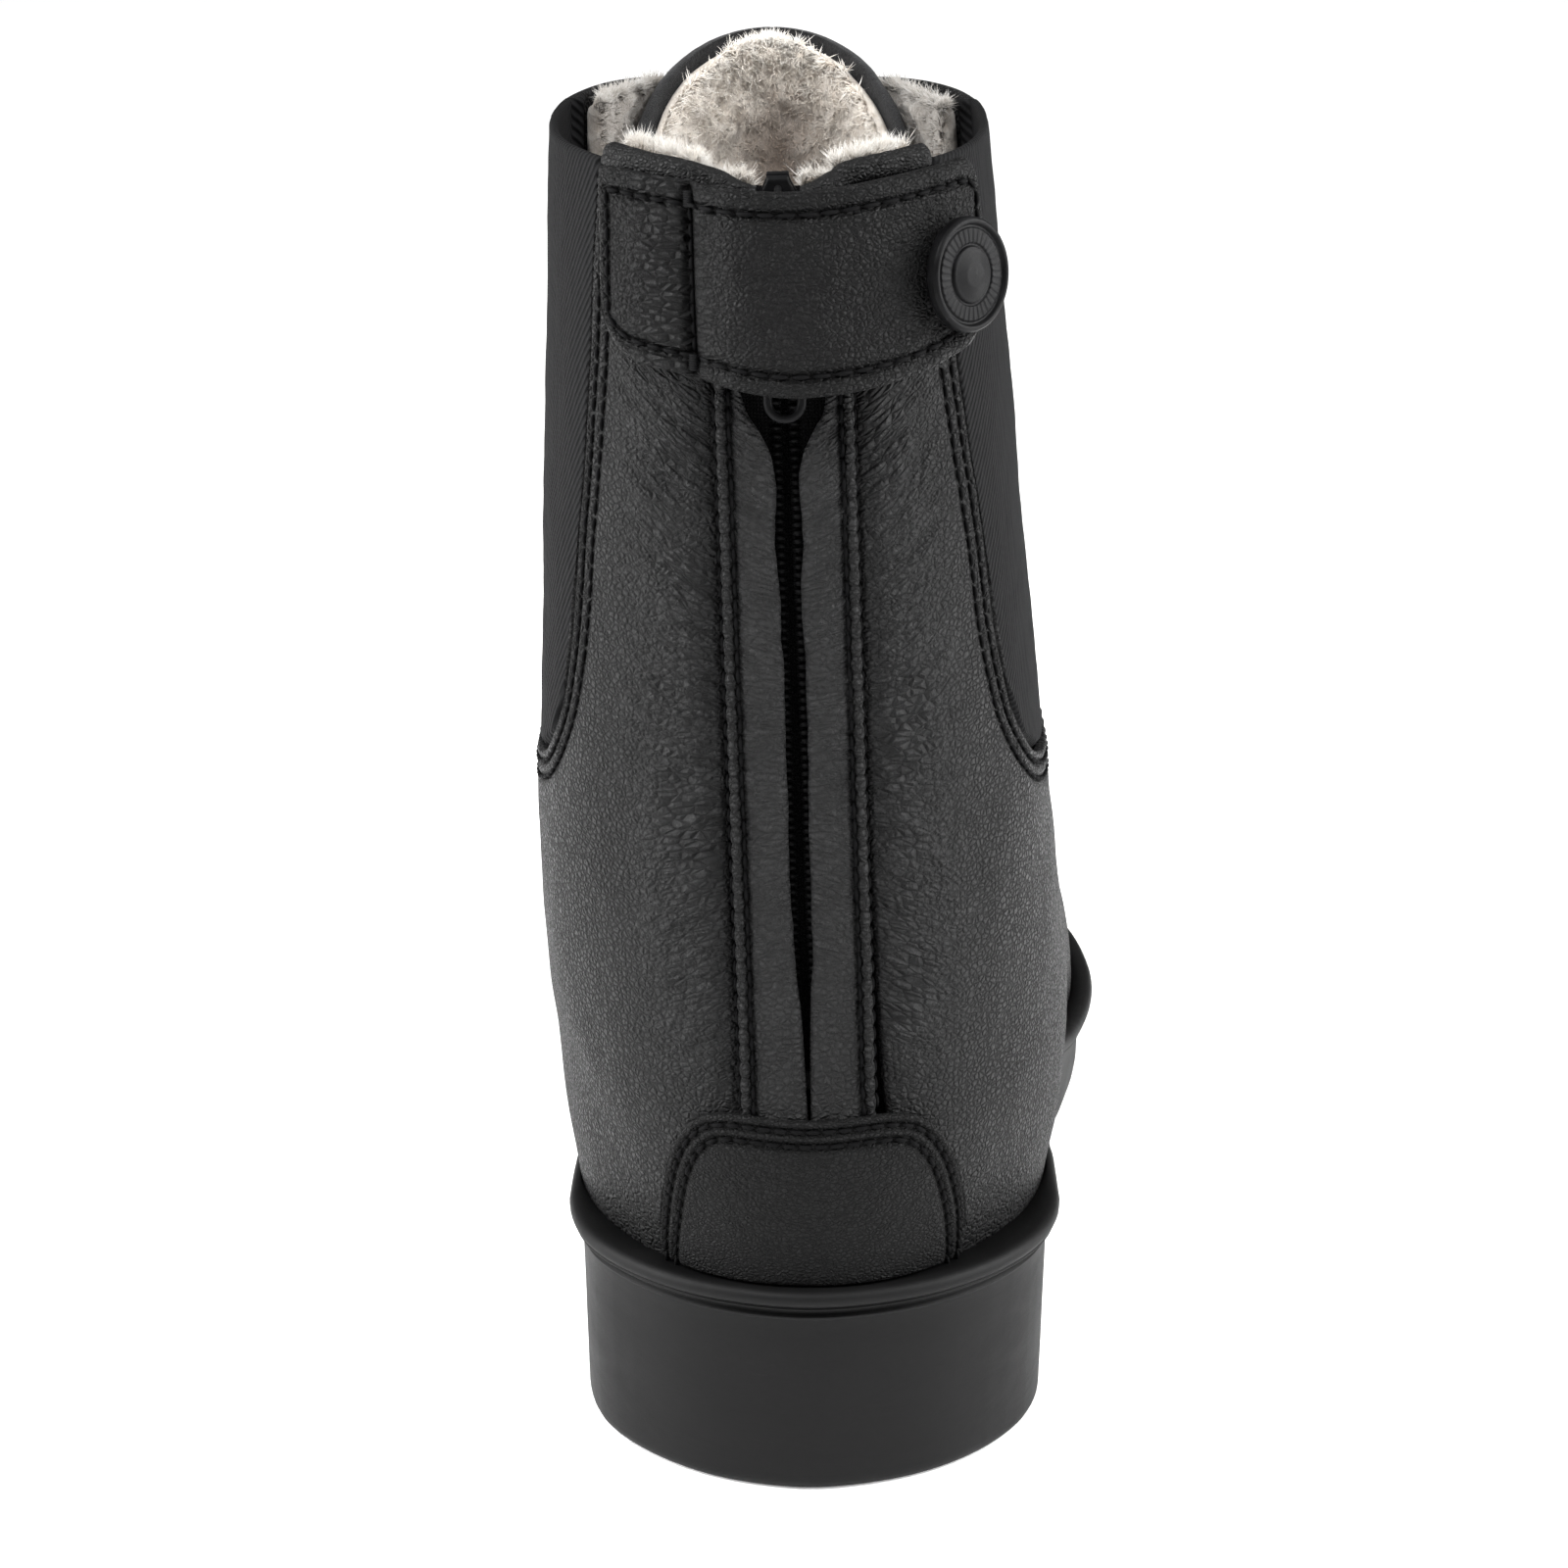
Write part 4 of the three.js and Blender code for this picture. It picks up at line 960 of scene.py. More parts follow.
def sole_stations():
    """Places along the foot, close together round the heel and toe and at both sides of each step."""
    heel = HEEL_TIP + 42 * (1 - np.cos(np.linspace(0, np.pi / 2, 30)))
    toe = TOE_TIP - 42 * (1 - np.cos(np.linspace(0, np.pi / 2, 30)))
    steps = [HEEL_BREAST + d for d in (0.4, 0.6, 1.2)]
    steps += [y + side * (POCKET_WIDE / 2 + d) for y in POCKETS for side in (-1, 1) for d in (-0.1, 0.1)]
    even_ones = np.arange(4, 202, 2.5)
    far = np.array([e for e in even_ones if min(abs(e - s) for s in steps) > 0.8])
    return np.unique(np.round(np.concatenate([heel, toe, far, steps]), 4))


def sole_ring():
    """The outline once round from the heel tip by the outer side, with its outward normals."""
    points = [[0, HEEL_TIP]] + [[r[2], r[0]] for r in SOLE] + [[-1.2, TOE_TIP]]
    points += [[r[1], r[0]] for r in SOLE[::-1]]
    fine = smooth_ring(points, 30)
    half = np.argmax(fine[:, 1])
    y = sole_stations()
    y[0], y[-1] = fine[0, 1], fine[half, 1]
    outer = np.interp(y, fine[:half + 1, 1], fine[:half + 1, 0])
    back = np.concatenate([fine[half:], fine[:1]])[::-1]
    inner = np.interp(y, back[:, 1], back[:, 0])
    ring = np.concatenate([np.stack([outer, y], -1), np.stack([inner, y], -1)[-2:0:-1]])
    way = unit(np.roll(ring, -1, 0) - np.roll(ring, 1, 0))
    return ring, np.stack([way[:, 1], -way[:, 0]], -1), len(y)


def sole_wall(ring, out):
    """The side wall of the sole in rows, from its underside up."""
    y = ring[:, 1]
    low, high = under(y), sole_top(y)
    rows = [(low + h, drawn) for h, drawn in SOLE_FOOT]
    rows += [(low + 2.2 + (high - low - 4.2) * t, 0) for t in np.linspace(0.12, 0.92, 12)]
    rows += [(high - h, drawn) for h, drawn in SOLE_LIP]
    wall = []
    for z, drawn in rows:
        taper = 0.9 * (1 - z / 31.5)
        ripple = 0.06 * noise(np.column_stack([ring, z]), 9, 5)
        wall.append(np.column_stack([ring - out * (drawn + taper - ripple)[:, None], z]))
    return np.array(wall)


def spanned(level, n):
    """A flat face between the two sides of the sole, with columns at both ends of the pockets."""
    outer, inner = level[:n], np.concatenate([level[:1], level[:n - 1:-1], level[n - 1:n]])
    wide = np.linalg.norm(outer - inner, axis=1)
    near, far = POCKET_END - 0.1, POCKET_END + 0.1
    lines = []
    for share, shift in ((0, 0), (0, near), (0, far), (0.33, 0), (0.5, 0), (0.67, 0), (1, -far), (1, -near),
                         (1, 0)):
        t = np.clip(share + shift / np.maximum(wide, 1e-6), 0, 1)
        t = np.where((share == 0) & (shift > 0), np.minimum(t, 0.3), t)
        t = np.where((share == 1) & (shift < 0), np.maximum(t, 0.7), t)
        lines.append(inner + (outer - inner) * t[:, None])
    return np.stack(lines, 1)


def outsole():
    ring, out, n = sole_ring()
    wall = sole_wall(ring, out)
    rows, count = wall.shape[:2]
    tread, top = spanned(wall[0], n), spanned(wall[-1], n)
    for centre in POCKETS:
        wide = np.abs(tread[..., 1] - centre) < POCKET_WIDE / 2
        wide[:, :2] = wide[:, -2:] = False
        tread[wide, 2] += POCKET_DEEP
    columns = tread.shape[1]
    faces = np.concatenate([grid_faces(rows, count, wrap=True), grid_faces(n, columns, rows * count),
                            grid_faces(n, columns, rows * count + n * columns, flip=True)])
    vertices = np.concatenate([part.reshape(-1, 3) for part in (wall, tread, top)])
    make("outsole_shell", vertices, faces[:, ::-1], rubber, replaces=["outsole"], slot="rubber")


def welt():
    """Half-round bead round the featherline, with a thin flash line under it and small moulding nubs."""
    ring, out, _ = sole_ring()
    y, one = ring[:, 1], np.ones(len(ring))
    base = sole_top(y) + 0.35
    nub = sum(h * bell(y - at, w) for at, h, w in ((13, 0.8, 1.1), (16.5, 0.5, 0.7), (-2, 0.2, 1.0)))
    nub = nub + 0.05 * noise(np.column_stack([ring, base]), 5, 9)

    def level(up, reach, on_skin=False):
        z = base + up
        if not on_skin:
            return np.column_stack([ring + out * reach[:, None], z])
        centre = np.column_stack([np.zeros_like(y), np.clip(y, 0, 195), z])
        centre[:, 0] = np.where(centre[:, 1] > 30, foot_centre(centre[:, 1]), 0)
        way = unit(np.column_stack([ring, z]) - centre)
        return leave(centre, way) + way * reach[:, None]

    sections = [level(0, 0.35 * one, True), level(0, 0.9 * one), level(0.05, 1.35 * one + 0.5 * nub),
                level(0.22, 1.45 * one + 0.6 * nub), level(0.34, 1.15 * one)]
    for turn in np.linspace(-65, 100, 11):
        a = math.radians(turn)
        sections.append(level(1.62 + 1.28 * math.sin(a), 0.68 + 1.28 * math.cos(a) * one + 0.35 * nub))
    sections += [level(2.75, 0.35 * one, True), level(1.4, 0.1 * one, True)]
    points = np.stack(sections)
    rows, count = points.shape[:2]
    faces = grid_faces(rows + 1, count, wrap=True) % (rows * count)
    make("welt_bead", points.reshape(-1, 3), faces[:, ::-1], rubber, replaces=["welt"], slot="rubber")


def footbed():
    """Fleece-topped footbed, crowned a little and cupped at the heel."""
    y = np.linspace(-25, 207, 150)
    start = np.column_stack([np.where(y > 30, foot_centre(y), 0), y, sole_top(y) + 4])
    medial, lateral = (leave(start, [side, 0, 0], 9.6)[:, :1] for side in (-1, 1))
    t = np.linspace(0, 1, 50)[None, :]
    x = medial * (1 - t) + lateral * t
    yy = np.broadcast_to(y[:, None], x.shape)
    top = sole_top(yy) + 6.1
    ends = np.minimum(1, np.minimum(y - y[0], y[-1] - y) / 3)[:, None]
    crown = np.minimum(1, np.minimum(t, 1 - t) * 14) * ends
    over = np.stack([x, yy, top - 1.7 * (1 - crown**0.5)], -1)
    over[..., 2] += 0.35 * noise(over, 3.5, 2) * crown + 0.2 * noise(over, 1.6, 4) * crown
    below = np.stack([x, yy, sole_top(yy) + 2.5 + 1.7 * (1 - crown**0.5)], -1)
    rows, columns = x.shape
    rim = rim_of(rows, columns)
    following = np.roll(rim, -1)
    half = rows * columns
    faces = np.concatenate([
        grid_faces(rows, columns, flip=True), grid_faces(rows, columns, half),
        np.stack([rim, following, following + half, rim + half], -1),
    ])
    bed = make("footbed_fleece", np.concatenate([over.reshape(-1, 3), below.reshape(-1, 3)]), faces[:, ::-1],
               fleece, replaces=["footbed"], slot="fleece")


outsole()
welt()
footbed()

# ---------- leather panels ----------

CORNER = (117, 117)
GUSSET_FOOT = [(47.8, 118.6), (55.4, 109.4), (68, 105), (82, 104), (96, 105), (108, 109), (115, 117)]
GUSSET_REAR = [(34.4, 195.6), (36.8, 170), (40.8, 144), (45.6, 120)]
# Middle of the rolled collar: angle and height, from beside the zip to the gusset.
COLLAR = [(11, 195), (15, 195.8), (22, 196.4), (28, 196.8), (34.4, 197)]
SEAM_FOOT_Y = 58
# Angles of the leather's lower edge, from the back to the side seam.
EDGE_ANGLES = np.array([20, 28, 38, 47, 56, 66, 78, 87, 96, 105, 114, 122, 129])
FOOT_EDGE = -0.5
LINING_EDGE = 2
LINING_SIDE = 14.8
# Half width between the facings, at their foot and at their top.
LACE_FOOT = 7
LACE_TOP = 16
FACING_FOOT = 100
FACING_TOP = 198
EYELET_INSET = 6.5
EYELET_HEIGHTS = np.array([116.0, 133, 150, 167, 184])


def mirrored(side, names):
    return np.asarray(names, float) * (side, 1)


def side_seam(side, shift, foot):
    y = SEAM_FOOT_Y + shift
    low = leave([0, y, float(featherline(SEAM_FOOT_Y)) + foot], [side, 0, 0])
    t = np.linspace(0, 1, 5)[:, None]
    return shaft_name(low) * (1 - t) + np.array([side * (CORNER[0] + shift * 1.4), CORNER[1]]) * t


def foot_edge(angles, foot):
    """Names just above the sole at angles from the back."""
    angles = np.asarray(angles, float)
    z = np.full(angles.shape, float(featherline(0)) + foot)
    for _ in range(4):
        start, way = shaft_rays(angles, z)
        z = featherline(leave(start, way)[..., 1]) + foot
    return np.stack([angles, z], -1)


def quarter_edges(side, edge, foot, top):
    seam = side_seam(side, -SEAM_GAP, foot)
    lower = np.concatenate([
        [beside(side * edge, featherline(0) + foot)],
        foot_edge(side * EDGE_ANGLES, foot),
        seam[:1],
    ])
    upper = np.concatenate([
        [beside(side * edge, COLLAR[0][1] - 1.6 - top)],
        mirrored(side, [(a, z - 1.2 - top) for a, z in COLLAR[1:]]), mirrored(side, GUSSET_REAR[1:]),
        mirrored(side, [(a, z - 0.7) for a, z in GUSSET_FOOT[1:6]] + [(113.5, 112)]),
        seam[-1:],
    ])
    return lower, upper


def crease_coordinates(names, side):
    """Across and along the creases that fan out from the zip's seams."""
    w = side * across_zip(names)
    z = names[..., 1]
    slope = -0.35 + 0.95 * ease(z, 75, 170)
    return w, z - slope * (w - 10)


def crease_mask(names, side):
    w, z = side * across_zip(names), names[..., 1]
    patchy = 0.75 + 0.35 * noise(np.stack([w, z, 0 * z], -1), (9, 14, 1), 3 + side)
    return np.clip(ease(w, 9.8, 12) * (1 - ease(w, 17, 36)) * ease(z, 60, 76) * patchy, 0, 1)


def quarter_lift(side):
    def lift(names, points):
        w, q = crease_coordinates(names, side)
        z = names[..., 1]
        folds = np.abs(noise(np.stack([w, q, 0 * q], -1), (10, 3.0, 1), 5 + side))
        drape = 0.32 * noise(points, 17, 1) + 0.12 * noise(points, 7, 2)
        valley = 0.95 * bell(w - 10.6, 2.6) * ease(z, 56, 68)
        return 0.12 + drape * ease(z, 34, 50) - valley + (0.42 - folds) * 1.15 * crease_mask(names, side)
    return lift


def set_crease(thing, values, coordinates):
    """The share of fine creases at each point of a panel, and where the creases run."""
    mesh = thing.data
    rim = rim_of(*values.shape)
    keep = np.ones(values.size, bool)
    keep[rim] = False
    shares, flat = values.ravel(), np.stack(coordinates, -1).reshape(-1, 2)
    lower = keep if len(mesh.vertices) == values.size + keep.sum() else rim
    shares, flat = np.concatenate([shares, shares[lower]]), np.concatenate([flat, flat[lower]])
    mesh.attributes.new("crease", "FLOAT", "POINT").data.foreach_set("value", shares.astype(np.float32))
    corner = np.empty(len(mesh.loops), np.int32)
    mesh.loops.foreach_get("vertex_index", corner)
    mesh.uv_layers["cloth"].data.foreach_set("uv", flat[corner].astype(np.float32).ravel())


def quarter(label, side):
    lower, upper = quarter_edges(side, ZIP_EDGE + 0.5, FOOT_EDGE, top=0)
    names = ruled(lower, upper, 0.55, sharp=(4,))
    sewing = Sewing()
    lift = quarter_lift(side)
    sewing.row(beside(side * (ZIP_EDGE + 0.95), np.linspace(61.5, 189, 9)), lift)
    gusset_line = mirrored(side, GUSSET_REAR + [(a, z - 0.7) for a, z in GUSSET_FOOT[1:6]])
    for distance in (1.7, 4.1):
        sewing.row(inset(gusset_line, -side * distance), lift)
    seam = side_seam(side, -SEAM_GAP, FOOT_EDGE + 3)
    for distance in (1.8, 4.2):
        sewing.row(inset(seam, side * distance, trim=(0, 2)), lift)
    panel = skin_panel(f"quarter_{label}_leather", names, lift, leather, sewing=sewing,
                       replaces=[f"quarter_{label}"], slot="leather")
    set_crease(panel, crease_mask(names, side), crease_coordinates(names, side))
    sewing.make(f"quarter_{label}_thread", thread)


def lace_edge(z):
    return LACE_FOOT + (LACE_TOP - LACE_FOOT) * (z - FACING_FOOT) / (FACING_TOP - FACING_FOOT)


def facing_foot(side, lift):
    edge = beside_front(lace_edge(101), 101)
    return mirrored(side, [
        (CORNER[0] + 0.3, CORNER[1] + lift), (132, 112 + lift), (150, 106 + lift), (edge[0], 101 + lift),
    ])


def facing_edges(side, top):
    edge = beside_front(lace_edge(FACING_TOP), FACING_TOP)
    line = [(117.6, FACING_TOP), (132, 198.2), (149, 198.2), (edge[0], 197.6)]
    return facing_foot(side, 0.5), mirrored(side, [(a, z - top) for a, z in line])


def eyelet_places(side):
    names = beside_front(lace_edge(EYELET_HEIGHTS) + EYELET_INSET, EYELET_HEIGHTS)
    return shaft_space.place(mirrored(side, names))


def facing(label, side):
    lower, upper = facing_edges(side, top=0)
    names = ruled(lower, upper, 0.6)
    sewing = Sewing()
    lift = soft_lift(0.05, depth=0.25, size=14, seed=11)
    rear, front = (np.stack([lower[k], (lower[k] + upper[k]) / 2, upper[k]]) for k in (0, -1))
    for distance in (1.8, 11.5):
        sewing.row(inset(front, side * distance, trim=(1.5, 1.5)), lift)
    for distance in (1.7, 4.0):
        sewing.row(inset(rear, -side * distance, trim=(2, 2)), lift)
    skin_panel(f"facing_{label}_leather", names, lift, leather, sewing=sewing, closed=True,
               holes=eyelet_places(side)[0], replaces=[f"facing_{label}"], slot="leather")
    sewing.make(f"facing_{label}_thread", thread)


FRONT_ANGLES = [0, 13, 26, 39, 51, 61, 71, 81]
TOE_LINE = 186
HALF_FOOT = 45


def vamp_edges(foot):
    def half(side):
        names = np.concatenate([side_seam(side, SEAM_GAP, foot), facing_foot(side, -0.1)[1:]])
        return foot_name(shaft_space.place(names)[0])
    ridge = foot_name(shaft_space.place([(180, 98)])[0])
    lower = np.concatenate([half(1), ridge, half(-1)[::-1]])
    low = math.degrees(math.atan2(foot, HALF_FOOT))
    right = [low + (90 - low) * a / 90 for a in FRONT_ANGLES]
    angles = right + [90] + [180 - a for a in right[::-1]]
    return lower, np.array([(a, TOE_LINE - SEAM_GAP) for a in angles])


def vamp():
    lower, upper = vamp_edges(FOOT_EDGE)
    names = ruled(lower, upper, 0.8, space=foot_space)
    sewing = Sewing()

    def lift(spots, points):
        y = points[..., 1]
        flex = bell(y - 128, 16) * ease(points[..., 2], 30, 60)
        folds = noise(points, (26, 5.5, 20), 6)
        return 0.05 + 0.25 * noise(points, 15, 4) + flex * (0.2 - 0.7 * np.abs(folds))

    for at in (TOE_LINE - 2.2, TOE_LINE - 4.6):
        line = np.array([(a, at) for a in np.linspace(4, 176, 13)])
        sewing.row(line, lift, space=foot_space)
    skin_panel("vamp_leather", names, lift, leather, sewing=sewing, space=foot_space, replaces=["vamp"],
               slot="leather")
    sewing.make("vamp_thread", thread)


def toe_end(name, foot, offset, thick, steps, look, **more):
    """Closed end of the foot, spread from one inner point between the toe line and the featherline."""
    centre = np.array([-1, TOE_LINE + SEAM_GAP, float(featherline(TOE_LINE))])
    low = math.degrees(math.atan2(foot, HALF_FOOT))
    reach = 50
    t = spread(100, 100 / steps[0], 2)[:, None]
    u = spread(100, 100 / steps[1], 2)[None, :]
    over = np.radians(low + (180 - 2 * low) * u)
    around = np.radians(9 + 162 * u)
    drop = (foot + featherline(TOE_LINE + reach * np.sin(around)) - featherline(TOE_LINE)) / reach
    rear = np.stack([np.cos(over), 0 * over, np.sin(over)], -1)
    front = unit(np.stack([np.cos(around), np.sin(around), drop], -1))
    way = unit(rear * (1 - t[..., None]) + front * t[..., None])
    place = leave(np.broadcast_to(centre, way.shape), way)
    square = np.maximum(0.7, np.sum(way * outward(place), -1))
    rows, columns = place.shape[:2]
    rim = rim_of(rows, columns)
    lift = offset + 0.12 * noise(place, 12, 8) - (1 - edge_arch(place, rim, 0.8)) * thick / 2
    top = (place + way * (lift / square)[..., None]).reshape(-1, 3)
    skirt = (place - way * (thick / square)[..., None]).reshape(-1, 3)[rim]
    own = rows * columns + np.arange(len(rim))
    faces = np.concatenate([grid_faces(rows, columns, flip=True),
                            np.stack([rim, np.roll(rim, -1), np.roll(own, -1), own], -1)])
    flat = chart(place)
    away = top - centre
    a, b, c, _ = faces[len(faces) // 3]
    if np.dot(np.cross(away[b] - away[a], away[c] - away[a]), away[a]) < 0:
        faces = faces[:, ::-1]
    make(name, np.concatenate([top, skirt]), faces, look, uv=np.concatenate([flat, flat[rim]]), solid=False,
         **more)


def heel_patch():
    lower = beside(np.array([-27.6, -24, -18.6, -12, 0, 12, 18.6, 24, 27.6]), 33.6)
    arch = np.array([(-27.4, 38.5), (-23.3, 52), (-18.5, 58.5), (-12.4, 60.9), (0, 60.4), (12.4, 60.9),
                     (18.8, 58.5), (23.6, 51.8), (27.4, 38.5)])
    upper = beside(arch[:, 0], arch[:, 1])
    names = ruled(lower, upper, 0.42)
    sewing = Sewing()
    lift = soft_lift(1.5, depth=0.12, size=9, seed=12)
    outline = np.concatenate([[beside(-27.6, 33.2)], upper, [beside(27.6, 33.2)]])
    for distance in (-1.5, -3.7):
        sewing.row(inset(outline, distance, 2.0), lift, 2.3, THICK_THREAD)
    skin_panel("heel_patch_leather", names, lift, smooth_leather, thick=1.4, round_edge=0.9,
               sewing=sewing, replaces=["heel_patch"], slot="leather")
    sewing.make("heel_patch_thread", thread)


def seam_underlay(name, line):
    """A strip of leather behind a seam."""
    rows = [inset(line, distance, 1.2) for distance in np.linspace(-3.6, 3.6, 9)]
    skin_panel(name, np.stack(rows), soft_lift(-1.25), leather, thick=0.7,
               closed=True, round_edge=0.3, slot="leather")


for label, side in SIDES:
    quarter(label, side)
    facing(label, side)
    seam_underlay(f"side_seam_underlay_{label}", side_seam(side, 0, FOOT_EDGE + 4))
    seam_underlay(f"facing_seam_underlay_{label}", facing_foot(side, 0.2))
vamp()
toe_end("toe_cap_leather", FOOT_EDGE, 0.05, LEATHER, (110, 240), smooth_leather, replaces=["toe_cap"],
        slot="leather")
heel_patch()

# ---------- elastic gussets ----------


def gusset(label, side):
    """Elastic with its sewn margins tucked under the leather."""
    lower = mirrored(side, [
        (42, 120), (53, 105), (68, 100.5), (82, 99.5), (97, 100.5), (110, 104), (121, 114),
    ])
    angles = np.array([31, 48, 62, 77, 92, 106, 121])
    upper = mirrored(side, np.stack([angles, 197 + 1.4 * (angles - 35) / 82], -1))
    names = ruled(lower, upper, 0.7)
    rear, foot = np.array(GUSSET_REAR[::-1]), np.array(GUSSET_FOOT)

    def lift(spots, points):
        angle, z = side * spots[..., 0], spots[..., 1]
        sides = np.minimum(angle - np.interp(z, rear[:, 1], rear[:, 0]), 117.4 - angle) * 0.8
        inside = np.minimum(sides, z - np.interp(angle, foot[:, 0], foot[:, 1]))
        cloth = 0.35 * noise(points, 22, 7) + 0.08 * noise(points, 4, 8)
        return -0.35 + cloth - 1.65 * (1 - ease(inside, -0.7, 0.9))

    panel = skin_panel(f"gusset_{label}_elastic", names, lift, elastic, thick=1.3, closed=True,
                       replaces=[f"gusset_{label}"], slot="elastic")
    set_crease(panel, np.zeros(names.shape[:2]), (names[..., 0] * 0.75, names[..., 1]))


# ---------- collar bindings ----------


def binding(label, side):
    """Leather rolled over the collar, with the folds and the stitched line of a soft roll."""
    line = np.concatenate([
        beside(side * np.array([3.2, 6.2, 9.6]), [193.2, 194.2, COLLAR[0][1]]),
        mirrored(side, COLLAR[1:4] + [(33.7, COLLAR[4][1])]),
    ])
    names, points, normals = even(line, 0.35)
    by_zip = 1 - ease(side * across_zip(names), 5, 10)
    centres = points - normals * (1.9 - 2.4 * by_zip)[:, None]

    def roll(turn, run):
        place = np.stack(np.broadcast_arrays(1.7 * np.cos(turn), 1.7 * np.sin(turn), run), -1)
        folds = 0.05 * noise(place, (1.2, 1.2, 14), 3) + 0.07 * noise(place, (3, 3, 2.2), 4)
        groove = -0.12 * bell(np.sin(turn) + 0.55, 0.12) - 0.08 * bell(np.sin(turn) - 0.35, 0.1)
        return 1 + folds + groove

    tube(f"collar_binding_{label}_roll", centres, 1.85 - 0.35 * by_zip, binding_leather, 40, roll, 1.15,
         replaces=[f"collar_binding_{label}"], slot="binding_leather")
    sewing = Sewing()
    below = np.stack([names[:, 0], names[:, 1] - 2.6], -1)
    sewing.row(below[4:-4], soft_lift(0.3))
    sewing.make(f"collar_binding_{label}_thread", thread)


# ---------- zip ----------

SLIT = np.array([
    [58, 0.15], [75, 0.6], [86, 1.3], [92, 1.45], [104, 1.5], [115, 1.5], [127, 1.6], [139, 1.55], [147, 1.9],
    [154, 1.7], [158, 2.4], [161, 4], [163.5, 5.6], [168, 6.2], [190, 6.2],
])
COIL_PITCH = 1.2
COIL_DEPTH = 3.35
TAPE_WIDE = 13.7
RIDGE_PLACE = 9.2
STOP_HEIGHT = 65.4
SLIDER_HEIGHT = 191.5
WIRE_SIDES = 14


def slit_edge(z, side):
    at = np.stack([z, 0 * z, 0 * z], -1)
    wavy = (0.3 * noise(at, 8, 20 + side) + 0.12 * noise(at, 2.6, 24 + side)) * ease(z, 70, 92)
    return np.maximum(0.1, read(SLIT, 1, z) + wavy)


def zip_guard(label, side):
    """The leather lip that hides half the zip."""
    z = np.linspace(58.5, 191.5, 300)[:, None]
    t = spread(8, 0.42, 0.9)[None, :]
    inner = slit_edge(z, side)
    names = beside(side * (inner + (9.0 - inner) * t), z)
    sewing = Sewing()

    def lift(spots, points):
        w, q = crease_coordinates(spots, side)
        folds = np.abs(noise(np.stack([w, q, 0 * q], -1), (9, 3.4, 1), 9 + side))
        dent = 0.16 * bell(w - 5.2, 2.2)
        return 0.2 + 0.3 * noise(points, 8, 5) + dent - 0.5 * folds * ease(spots[..., 1], 62, 84)

    sewing.row(beside(side * 8.05, np.linspace(60.5, 189, 9)), lift)
    panel = skin_panel(f"zip_guard_{label}_leather", names, lift, guard_leather, thick=1.4,
                       closed=True, round_edge=0.9, sewing=sewing, replaces=[f"zip_guard_{label}"],
                       slot="leather")
    set_crease(panel, 0.6 * ease(names[..., 1], 70, 90), crease_coordinates(names, side))
    sewing.make(f"zip_guard_{label}_thread", thread)


def seam_ridge(label, side):
    """The rope-like fold of leather raised between two rows of stitches beside the zip."""
    line = beside(side * RIDGE_PLACE, np.linspace(59, 189.5, 9))
    _, points, normals = even(line, 0.16)

    def rope(turn, run):
        scallop = np.abs(np.sin(np.pi * run / STITCH)) ** 0.6
        place = np.stack(np.broadcast_arrays(turn, run, 0 * run), -1)
        return 0.72 + 0.34 * scallop + 0.05 * noise(place, 2.5, 6)

    tube(f"seam_ridge_{label}", points - normals * 0.15, 0.78, leather, 14, rope, slot="leather")


def zip_tape(label, side):
    z = np.linspace(58.5, 190, 124)[:, None]
    w = spread(TAPE_WIDE, 0.8)[None, :] * TAPE_WIDE + 0.5
    names = beside(side * w, z)
    skin_panel(f"zip_tape_{label}_weave", names, soft_lift(-3.75, 0.05, 3, 2), tape,
               thick=0.5, closed=True, round_edge=0.25, replaces=[f"zip_tape_{label}"], slot="zip_tape")


def zip_backing():
    """A strip of cloth behind the zip that keeps the pile out of it."""
    z = np.linspace(58, 194.4, 116)[:, None]
    names = beside(np.linspace(-14.6, 14.6, 40)[None, :], z)
    skin_panel("zip_backing_cloth", names, soft_lift(-6.1, 0.05, 3, 2), tape,
               thick=0.6, closed=True, round_edge=0.3, slot="zip_tape")


def zip_place(z, across=0.0, up=0.0, out=0.0):
    """A point measured from the zip line's place at a height, in the zip's own directions."""
    start = np.array([zip_x(z), zip_y(z), z])
    return start + across * zip_across + up * zip_up + out * zip_out


def zip_coil(label, side):
    """One side of the coil: rounded nylon bars that reach just past the middle."""
    sewing = Sewing()
    z = np.arange(68.5, 186, COIL_PITCH) + (COIL_PITCH / 2 if side > 0 else 0)
    outer, normals = shaft_space.place(beside(side * 2.5, z))
    inner, _ = shaft_space.place(beside(side * 0.48, z))
    drop = normals * COIL_DEPTH
    sewing.stitches(outer - drop, inner - drop, normals, 0.36)
    return sewing.make(f"zip_teeth_{label}_coil", nylon, replaces=[f"zip_teeth_{label}"], slot="zip_plastic")


def block(size, radius, cuts=5, taper=1.0):
    """A box with rounded edges about the origin: points and faces. Its top is scaled by taper."""
    half = np.asarray(size, float) / 2
    faces, points, count = [], [], 0
    near = np.linspace(0.02, 0.25, cuts)
    t = np.concatenate([[-1], near - 1, [0], 1 - near[::-1], [1]])
    u, v = np.meshgrid(t, t, indexing="ij")
    for axis in range(3):
        for sign in (-1, 1):
            cube = np.empty(u.shape + (3,))
            cube[..., axis] = sign
            cube[..., (axis + 1) % 3] = u
            cube[..., (axis + 2) % 3] = v
            core = np.clip(cube * half, radius - half, half - radius)
            away = cube * half - core
            push = unit(away) * np.minimum(radius, np.linalg.norm(away, axis=-1, keepdims=True) * 10)
            place = core + push
            place[..., :2] *= (1 + (taper - 1) * (place[..., 2:] / half[2] + 1) / 2)
            points.append(place.reshape(-1, 3))
            faces.append(grid_faces(len(t), len(t), count, flip=sign < 0))
            count += u.size
    return np.concatenate(points), np.concatenate(faces)


